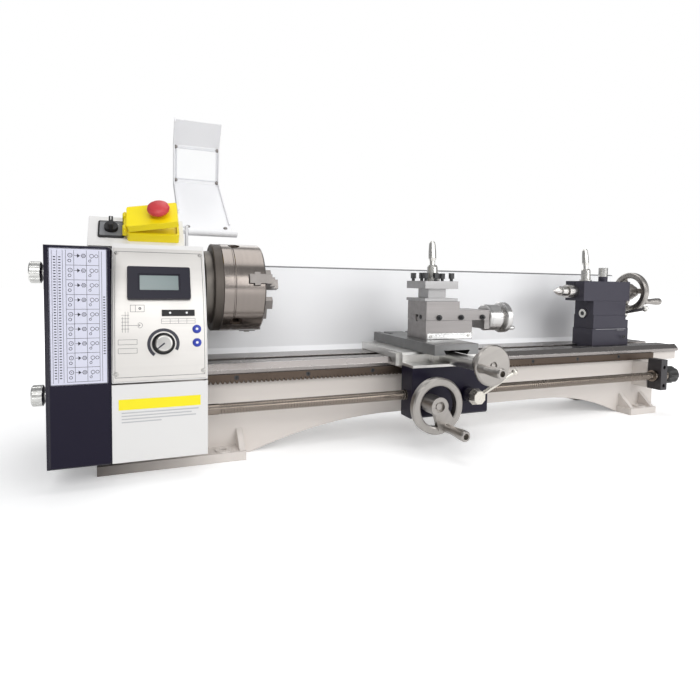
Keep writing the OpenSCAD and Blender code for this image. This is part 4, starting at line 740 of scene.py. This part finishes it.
def dress_panel():
    ink = finishes["ink"]
    lcd = Form(tangent_panel(*DISPLAY))
    lcd.slab(rounded(-23.2, 23.2, -10.7, 10.7, 0.6), 4.15, 4.45)
    fit("display_glass", lcd.mesh(), "base", finishes["lcd_glass"])
    sight = Form(tangent_panel(*DISPLAY))
    rims = ((23.4, 10.9, 4.3), (23.4, 10.9, 4.9), (21.8, 9.4, 4.9), (21.8, 9.4, 4.3))
    sight.loft([[(u, v, w) for u, v in rounded(-q, q, -p, p, 0.8)] for q, p, w in rims], close=True)
    fit("display_mask", sight.mesh(), "base", finishes["display_plastic"])

    bar = Form(curved_panel)
    bar.patch(52.8, 90.2, 76.6, 84.0, 0.9, 2.1)
    fit("rocker_bar", bar.mesh(), "base", finishes["black_plastic"])
    dots = Form(curved_panel)
    for u in (62.0, 81.0):
        dots.turned([(0, 2.0), (1.3, 2.0), (1.3, 2.35), (0, 2.5)], u, 80.3, 16)
    fit("rocker_dots", dots.mesh(), "base", finishes["white_print"])

    for name, v in (("push_button_upper", 60.5), ("push_button_lower", 44.3)):
        b = Form(tangent_panel(BUTTON_U, v))
        b.turned([(0, 0.8), (5.2, 0.8), (5.2, 1.5), (4.7, 1.7), (4.6, 2.6), (3.9, 3.1),
                  (0, 3.3)], n=32)
        fit(name, b.mesh(), "base", finishes["blue_plastic"])
        m = Form(tangent_panel(BUTTON_U, v))
        m.turned([(0, 3.1), (1.5, 3.1), (1.5, 3.4), (0, 3.5)], n=24)
        fit(name + "_mark", m.mesh(), "base", finishes["white_print"])

    scale = Form(curved_panel)
    scale.arc(*SPEED, 16.2, 3.6, 0.97, 1.14, -28, 232, 64)
    fit("speed_scale", scale.mesh(), "base", ink)
    cap = Form(tangent_panel(*SPEED))
    cap.turned([(0, 13.4), (9.3, 13.4), (9.3, 14.6), (8.6, 16.3), (7.7, 16.5), (7.4, 16.2),
                (0, 16.2)], n=48)
    fit("speed_cap", cap.mesh(), "speed_knob", finishes["screw_steel"])
    pointer = Form(tangent_panel(*SPEED))
    pointer.slab([(-7.6, -5.6), (-6.6, -6.6), (1.2, -0.6), (0.0, 0.9)], 16.1, 16.7)
    fit("speed_pointer", pointer.mesh(), "speed_knob", ink)

    lines = Form(curved_panel)
    w0, w1, thin = 0.97, 1.10, 0.45
    lines.stroke([(2.0, 6.5), (101.0, 6.5), (101.0, 159.0), (2.0, 159.0)],
                 thin, w0, w1, close=True)
    # ruled fields by the buttons
    lines.stroke([(52.4, 67.6), (90.6, 67.6), (90.6, 73.4), (52.4, 73.4)],
                 0.35, w0, w1, close=True)
    lines.stroke([(52.4, 70.5), (90.6, 70.5)], 0.3, w0, w1)
    for u in (62.0, 71.5, 81.0):
        lines.stroke([(u, 67.6), (u, 73.4)], 0.3, w0, w1)
    # small diagram of the drive: housing, shaft and arrow
    lines.stroke([(18.5, 82.0), (33.5, 82.0), (33.5, 90.0), (18.5, 90.0)],
                 0.4, w0, w1, close=True)
    lines.stroke([(24.0, 82.0), (24.0, 90.0)], 0.35, w0, w1)
    lines.arc(28.8, 86.0, 1.1, 0.9, w0, w1, n=14)
    for u in (10.0, 13.0, 16.0):
        lines.stroke([(u, 58.0), (u, 82.0 if u > 12 else 76.0)], 0.35, w0, w1)
    for v in (62.0, 66.0, 70.0, 74.0, 78.0):
        lines.stroke([(9.0, v), (17.0, v)], 0.35, w0, w1)
    lines.stroke([(17.0, 66.0), (29.0, 66.0)], 0.4, w0, w1)
    lines.arc(28.5, 66.0, 3.0, 0.4, w0, w1, -120, 120, 14)
    lines.stroke([(29.0, 66.0), (26.4, 67.8)], 0.4, w0, w1)
    lines.stroke([(29.0, 66.0), (26.4, 64.2)], 0.4, w0, w1)
    # two plain ruled boxes
    for v in (34.0, 44.0):
        lines.stroke([(5.5, v), (25.5, v), (25.5, v + 5.6), (5.5, v + 5.6)],
                     0.35, w0, w1, close=True)
    fit("panel_lines", lines.mesh(), "base", ink)


SWITCH = (28, 32)     # axis of the reversing switch on the sloped face


def dress_switch():
    rim = Form(slope_face)
    outer, inner = rounded(12.0, 44.0, 16.0, 48.0, 2.6), rounded(13.9, 42.1, 17.9, 46.1, 1.8)
    rims = ((outer, 0.05), (outer, 2.0), (inner, 3.1), (inner, 0.05))
    rim.loft([[(u, v, w) for u, v in loop] for loop, w in rims], close=True)
    fit("switch_rim", rim.mesh(), "base", finishes["black_plastic"])
    marks = Form(slope_face)
    for a in (45, 135, 90):
        c, s = math.cos(math.radians(a)), math.sin(math.radians(a))
        run = [(SWITCH[0] + r * c, SWITCH[1] + r * s) for r in (10.4, 12.4)]
        marks.stroke(run, 0.6, 2.45, 2.65)
    fit("switch_marks", marks.mesh(), "base", finishes["white_print"])
    line = Form(slope_face)
    line.slab([(27.6, 33.0), (28.4, 33.0), (28.4, 39.9), (27.6, 39.9)], 16.95, 17.2)
    fit("switch_line", line.mesh(), "switch_knob", finishes["white_print"])


# ---------------------------------------------------------------- gear chart on the cover
def dress_gear_cover():
    lo, hi = box("gear_cover")
    y = lo.y / MM
    x0, x1 = lo.x / MM + 5.4, hi.x / MM - 3.2
    z0, z1 = 121.5, hi.z / MM - 3.0
    plate = Form(front_face(y))
    plate.slab(rounded(x0, x1, z0, z1, 1.0), -0.1, 0.3)
    fit("gear_chart", plate.mesh(), "gear_cover", finishes["chart_plate"])

    wide = x1 - x0
    edge = Form(front_face(y))
    edge.stroke([(x0 + 0.5, z0 + 0.5), (x1 - 0.5, z0 + 0.5), (x1 - 0.5, z1 - 0.5),
                 (x0 + 0.5, z1 - 0.5)], 0.7, 0.28, 0.42, close=True)
    fit("chart_edge", edge.mesh(), "gear_cover", finishes["ink"])

    rows, u0, u1 = 9, x0 + 0.29 * wide, x0 + 0.86 * wide
    pitch = (z1 - z0 - 6) / rows
    row = Form(front_face(y))
    v = z0 + 3.5
    w0, w1 = 0.28, 0.38
    row.stroke([(u0, v), (u1, v)], 0.42, w0, w1)
    for u in (u0, u0 + 0.24 * (u1 - u0), u0 + 0.62 * (u1 - u0), u1):
        row.stroke([(u, v), (u, v + pitch)], 0.36, w0, w1)
    span = u1 - u0

    def at(along, up):
        return u0 + along * span, v + up * pitch

    # two meshing wheels, an arrow and a pair of change wheels
    row.arc(*at(0.13, 0.66), 2.1, 0.6, w0, w1, n=14)
    row.arc(*at(0.11, 0.30), 1.5, 0.6, w0, w1, n=12)
    row.turned([(0, w0), (0.5, w0), (0.5, w1), (0, w1)], *at(0.13, 0.66), 8)
    row.stroke([at(0.26, 0.64), at(0.40, 0.64)], 0.5, w0, w1)
    row.slab([at(0.34, 0.50), at(0.43, 0.64), at(0.34, 0.78)], w0, w1)
    row.arc(*at(0.53, 0.64), 2.2, 0.65, w0, w1, n=6)
    row.arc(*at(0.53, 0.64), 0.9, 0.4, w0, w1, n=8)
    row.arc(*at(0.72, 0.30), 1.2, 0.5, w0, w1, n=10)
    row.arc(*at(0.78, 0.64), 2.0, 0.5, w0, w1, n=12)
    row.arc(*at(0.92, 0.64), 1.7, 0.5, w0, w1, n=12)
    row.stroke([at(0.72, 0.36), at(0.78, 0.5)], 0.3, w0, w1)
    step = (0, 0, pitch * MM)
    chart = repeated(row.mesh(), IN_A_ROW, finishes["ink"], rows, step)

    # columns of plain dashes
    dash = Form(front_face(y))
    k = (z1 - z0 - 12) / 46
    for u in (x0 + 0.10 * wide, x0 + 0.185 * wide):
        dash.stroke([(u - 0.55, z0 + 8), (u + 0.55, z0 + 8)], 1.1, w0, w1)
    left = repeated(dash.mesh(), IN_A_ROW, finishes["ink"], 45, (0, 0, k * MM))
    dash = Form(front_face(y))
    u = x0 + 0.945 * wide
    dash.stroke([(u - 0.5, z0 + 34), (u + 0.5, z0 + 34)], 1.1, w0, w1)
    right = repeated(dash.mesh(), IN_A_ROW, finishes["ink"], 22, (0, 0, k * MM))
    fine = Form(front_face(y))
    for u in (x0 + 0.055 * wide, x0 + 0.143 * wide, x0 + 0.235 * wide, x0 + 0.905 * wide):
        fine.stroke([(u, z0 + 3), (u, z1 - 3)], 0.34, w0, w1)
    every = joined(chart, left, right, fine.mesh())
    fit("chart_lines", every, "gear_cover", finishes["ink"])


def dress_lower_cover():
    # a plain band with plain bars under it
    y = box("lower_cover")[0].y / MM
    band = Form(front_face(y))
    band.slab([(-516.0, 89.2), (-425.6, 89.2), (-425.6, 101.4), (-516.0, 101.4)], -0.1, 0.22)
    fit("colour_band", band.mesh(), "base", finishes["yellow_print"])
    bars = Form(front_face(y))
    for i, u1 in enumerate((-428.0, -436.0, -431.0, -470.0)):
        low, high = 85.0 - 3.6 * i, 86.3 - 3.6 * i
        bars.slab([(-513.0, low), (u1, low), (u1, high), (-513.0, high)], -0.1, 0.15)
    fit("plain_bars", bars.mesh(), "base", finishes["pale_print"])


# ---------------------------------------------------------------- chuck guard
GUARD_FOLDS = (227.9, 414.9), (221.9, 480.9)   # Y and Z of the two folds, guard up


def dress_guard():
    hinge = joint_point("chuck_guard_swing")
    hinge_y, hinge_z = hinge.y / MM, hinge.z / MM
    lo, hi = box("guard")
    x0, x1 = lo.x / MM, hi.x / MM - 7
    k1, k2 = (Vector(fold) for fold in GUARD_FOLDS)
    start = Vector((hinge_y, hinge_z))

    def panel_face(a, b):
        d = (b - a).normalized()

        def place(u, v, w):
            p = a + d * v
            return Vector((u, p.x - d.y * w, p.y + d.x * w)) * MM
        return place
    lower, middle = panel_face(start, k1), panel_face(k1, k2)
    heads = []
    low_spots = ((x0 + 13, 15), (x1 - 9, 15))
    corners = ((x0 + 4, 4.5), (x0 + 4, 62), (x1 - 4, 62), (x1 - 4, 4.5))
    for face, spots in ((lower, low_spots), (middle, corners)):
        for u, v in spots:
            s = Form(face)
            s.turned([(0, 0.8), (3.3, 0.8), (3.3, 1.7), (2.6, 2.6), (1.2, 3.0), (0, 3.0)],
                     u, v, 20)
            heads.append(s.mesh())
    fit("guard_screws", joined(*heads), "chuck_guard", finishes["jaw_steel"])
    edge = Form(middle)
    for v in (7.0, 60.2):
        edge.slab([(x0 + 5, v - 0.8), (x1 - 5, v - 0.8), (x1 - 5, v + 0.8), (x0 + 5, v + 0.8)],
                  0.9, 1.9)
    for u in (x0 + 5.4, x1 - 5.4):
        edge.slab([(u - 0.8, 6.2), (u + 0.8, 6.2), (u + 0.8, 61.0), (u - 0.8, 61.0)], 0.9, 1.9)
    fit("guard_window_frame", edge.mesh(), "chuck_guard", finishes["guard_edge"])


# ---------------------------------------------------------------- slides, dials, tailstock
def dress_compound():
    lo = box("top_slide")[0]
    blo, bhi = box("compound_base")
    kx, tz = joint_point("compound_swivel").x / MM, blo.z / MM + 30
    nuts = []
    for u in (kx - 4, kx + 37, kx + 78):
        s = Form(front_face(lo.y / MM))
        s.socket_screw(4.4, 2.6, 2.6, u, tz + 4.5)
        s.turned([(0, 1.5), (2.2, 1.5), (2.2, 6.2), (1.6, 6.8), (0, 6.8)], u, tz + 4.5, 16)
        nuts.append(s.mesh())
    fit("gib_screws", joined(*nuts), "top_slide", finishes["black_steel"])
    scale = Form(front_face(blo.y / MM))
    z0, z1 = blo.z / MM + 0.8, blo.z / MM + 9.6
    scale.slab(rounded(blo.x / MM + 2.0, bhi.x / MM - 1.5, z0, z1, 1.2), -0.1, 0.9)
    fit("swivel_scale", scale.mesh(), "compound", finishes["bright_plate"])
    ends = Form(front_face(blo.y / MM))
    for u in (blo.x / MM + 8, bhi.x / MM - 8):
        ends.socket_screw(2.6, 1.2, 1.3, u, (z0 + z1) / 2, 18)
    mesh = ends.mesh()
    for v in mesh.vertices:
        v.co.y -= 0.8 * MM
    fit("swivel_scale_screws", mesh, "compound", finishes["screw_steel"])
    mark = Form(front_face(blo.y / MM))
    mark.slab([(kx - 10, z1 - 3.4), (kx - 9.7, z1 - 3.4), (kx - 9.7, z1 - 0.6),
               (kx - 10, z1 - 0.6)], 0.85, 0.98)
    marks = repeated(mark.mesh(), IN_A_ROW, finishes["ink"], 37, (1.5 * MM, 0, 0))
    long_mark = Form(front_face(blo.y / MM))
    long_mark.slab([(kx - 10, z1 - 5.6), (kx - 9.7, z1 - 5.6), (kx - 9.7, z1 - 0.6),
                    (kx - 10, z1 - 0.6)], 0.85, 1.0)
    fives = repeated(long_mark.mesh(), IN_A_ROW, finishes["ink"], 8, (7.5 * MM, 0, 0))
    fit("swivel_marks", joined(marks, fives), "compound", finishes["ink"])
    cup = Form(left_face(lo.x / MM))
    cup.turned([(0, -0.1), (3.4, -0.1), (3.4, 0.5), (2.3, 0.9), (2.1, 0.2), (0, 0.2)],
               50, tz + 5, 20)
    fit("slide_oiler", cup.mesh(), "top_slide", finishes["black_steel"])


def dial_marks(name, body, at, axis, radius, start, length, count):
    # ruled marks round a dial, every fifth longer; start and length run along the axis
    parts = []
    under, over, half = radius - 0.2, radius + 0.08, 0.16
    for n, size in ((count, length), (count // 5, length * 1.6)):
        m = Form()
        m.slab([(under, -half), (over, -half), (over, half), (under, half)], start, start + size)
        done = repeated(m.mesh(), ROUND_AN_AXIS, finishes["ink"], n, math.tau / n)
        done.transform(axis_matrix(at, axis))
        parts.append(done)
    fit(name, joined(*parts), body, finishes["ink"])


CROSS_DIAL_Y, CARRIAGE_DIAL_Y = -0.1785, -0.1325
DIAL_GAP = 0.0003     # between a dial and the casting behind it


def dress_dials():
    out, right = (0, -1, 0), (1, 0, 0)
    p = joint_point("cross_wheel_turn")
    dial_marks("cross_dial_marks", "cross_wheel", (p.x, CROSS_DIAL_Y, p.z), out,
               13.0, 0.3, 4.0, 40)
    p = joint_point("carriage_wheel_turn")
    dial_marks("carriage_dial_marks", "carriage_wheel", (p.x, CARRIAGE_DIAL_Y, p.z), out,
               13.5, 0.3, 3.6, 40)
    p = joint_point("compound_wheel_turn")
    dial_marks("compound_dial_marks", "compound_wheel",
               (box("top_slide")[1].x + DIAL_GAP, p.y, p.z), right, 22.0, 2.4, 4.0, 60)
    p = joint_point("tail_wheel_turn")
    dial_marks("tail_dial_marks", "tail_wheel",
               (box("tail_body")[1].x + DIAL_GAP, p.y, p.z), right, 17.0, 0.3, 4.0, 40)


def dress_tailstock():
    lo, hi = box("tail_sole")
    y, z = lo.y / MM, hi.z / MM
    line = Form(front_face(y))
    x0, x1 = lo.x / MM, hi.x / MM
    line.slab([(x0 + 2, z - 0.7), (x1 - 14, z - 0.7), (x1 - 14, z - 0.1), (x0 + 2, z - 0.1)],
              -0.1, 0.12)
    fit("offset_line", line.mesh(), "tailstock", finishes["pale_print"])
    mark = Form(front_face(y))
    mark.slab([(x1 - 36, z - 4.2), (x1 - 35.7, z - 4.2), (x1 - 35.7, z - 0.5), (x1 - 36, z - 0.5)],
              -0.1, 0.12)
    marks = repeated(mark.mesh(), IN_A_ROW, finishes["pale_print"], 11, (1.6 * MM, 0, 0))
    fit("offset_marks", marks, "tailstock", finishes["pale_print"])
    tip = Form(left_face(box("tail_lock")[0].x / MM))
    tip_z = joint_point("tail_lock_turn").z / MM
    tip.turned([(0, -0.1), (4.2, -0.1), (4.2, 0.12), (0, 0.12)], 0, tip_z, 20)
    fit("lock_shaft_end", tip.mesh(), "tail_lock", finishes["black_steel"])
    screw = Form(front_face(y))
    screw.socket_screw(3.2, 1.6, 1.8, x1 - 18, z - 16)
    fit("sole_screw", screw.mesh(), "tailstock", finishes["black_steel"])


dress_panel()
dress_switch()
dress_gear_cover()
dress_lower_cover()
dress_guard()
dress_compound()
dress_dials()
dress_tailstock()


# ---------------------------------------------------------------- studio
FLOOR_HALF = 12.0


def make_floor():
    mesh = bpy.data.meshes.new("floor")
    s = FLOOR_HALF
    mesh.from_pydata([(-s, -s, 0), (s, -s, 0), (s, s, 0), (-s, s, 0)], [], [(0, 1, 2, 3)])
    obj = bpy.data.objects.new("floor", mesh)
    scene.collection.objects.link(obj)
    mat = bpy.data.materials.new("floor_white")
    mat.use_nodes = True
    t = mat.node_tree
    t.nodes.clear()
    out = t.nodes.new("ShaderNodeOutputMaterial")
    diffuse = t.nodes.new("ShaderNodeBsdfDiffuse")
    diffuse.inputs[0].default_value = (0.93, 0.93, 0.93, 1)
    glow = t.nodes.new("ShaderNodeEmission")
    # the floor fades to plain white away from the machine
    place = t.nodes.new("ShaderNodeTexCoord")
    reach = vec_maths(t, "LENGTH", place.outputs["Object"], (0, 0, 0))
    fade = t.nodes.new("ShaderNodeMapRange")
    fade.interpolation_type = "SMOOTHSTEP"
    t.links.new(reach, fade.inputs["Value"])
    spans = (("From Min", 0.75), ("From Max", 1.9), ("To Min", 0.30), ("To Max", 1.0))
    for label, value in spans:
        fade.inputs[label].default_value = value
    t.links.new(fade.outputs[0], glow.inputs["Strength"])
    path = t.nodes.new("ShaderNodeLightPath")
    add = t.nodes.new("ShaderNodeAddShader")
    mix = t.nodes.new("ShaderNodeMixShader")
    seen = maths(t, "MAXIMUM", path.outputs["Is Camera Ray"], path.outputs["Is Glossy Ray"])
    seen = maths(t, "MAXIMUM", seen, path.outputs["Is Transmission Ray"])
    t.links.new(diffuse.outputs[0], add.inputs[0])
    t.links.new(glow.outputs[0], add.inputs[1])
    t.links.new(seen, mix.inputs[0])
    t.links.new(diffuse.outputs[0], mix.inputs[1])
    t.links.new(add.outputs[0], mix.inputs[2])
    t.links.new(mix.outputs[0], out.inputs["Surface"])
    obj.data.materials.append(mat)


def make_world():
    world = bpy.data.worlds.new("studio")
    scene.world = world
    world.use_nodes = True
    t = world.node_tree
    t.nodes.clear()
    out = t.nodes.new("ShaderNodeOutputWorld")
    soft = t.nodes.new("ShaderNodeBackground")
    soft.inputs["Color"].default_value = (0.97, 0.98, 1, 1)
    soft.inputs["Strength"].default_value = 0.36
    white = t.nodes.new("ShaderNodeBackground")
    white.inputs["Color"].default_value = (1, 1, 1, 1)
    white.inputs["Strength"].default_value = 1.0
    path = t.nodes.new("ShaderNodeLightPath")
    seen = maths(t, "MAXIMUM", path.outputs["Is Camera Ray"], path.outputs["Is Transmission Ray"])
    mix = t.nodes.new("ShaderNodeMixShader")
    t.links.new(seen, mix.inputs[0])
    t.links.new(soft.outputs[0], mix.inputs[1])
    t.links.new(white.outputs[0], mix.inputs[2])
    t.links.new(mix.outputs[0], out.inputs["Surface"])


def lamp(name, at, to, size, power):
    data = bpy.data.lights.new(name, "AREA")
    data.shape = "RECTANGLE"
    data.size, data.size_y = size
    data.energy = power
    obj = bpy.data.objects.new(name, data)
    scene.collection.objects.link(obj)
    obj.location = at
    obj.rotation_mode = "QUATERNION"
    obj.rotation_quaternion = (Vector(to) - Vector(at)).to_track_quat("-Z", "Y")


CAMERA_AT = (-0.4970351, -0.7691504, 0.2387799)
SENSOR = 36.0         # width of the sensor, in millimetres
WIDTH, FOCAL = 700.0, 519.87      # of the view, in one unit
MIDDLE, LENS_AXIS = 350.0, 311.85  # heights of the view's middle and of the lens axis


def make_camera():
    data = bpy.data.cameras.new("camera")
    obj = bpy.data.objects.new("camera", data)
    scene.collection.objects.link(obj)
    yaw, pitch, roll = 0.3913, 0.0558, 0.0153
    ahead = Vector((math.sin(yaw) * math.cos(pitch), math.cos(yaw) * math.cos(pitch),
                    -math.sin(pitch)))
    right = Vector((math.cos(yaw), -math.sin(yaw), 0))
    up = right.cross(ahead)
    x = right * math.cos(roll) + up * math.sin(roll)
    y = -right * math.sin(roll) + up * math.cos(roll)
    turn = Matrix((x, y, -ahead)).transposed().to_4x4()
    obj.matrix_world = Matrix.Translation(CAMERA_AT) @ turn
    data.sensor_width = SENSOR
    data.lens = SENSOR * FOCAL / WIDTH
    data.shift_y = -(MIDDLE - LENS_AXIS) / WIDTH
    data.clip_start, data.clip_end = 0.01, 60
    scene.camera = obj


make_floor()
make_world()
lamp("key", (-1.5, -3.6, 3.0), (0, 0, 0.2), (2.6, 1.8), 58)
lamp("top", (0.2, 0.1, 2.8), (0, 0, 0.1), (2.8, 1.6), 26)
lamp("front", (1.7, -3.4, 1.5), (0.2, 0, 0.2), (3.0, 1.8), 68)
lamp("rear", (0.3, 2.6, 1.8), (0, 0, 0.2), (2.4, 1.4), 16)
make_camera()

scene.view_settings.view_transform = "Standard"
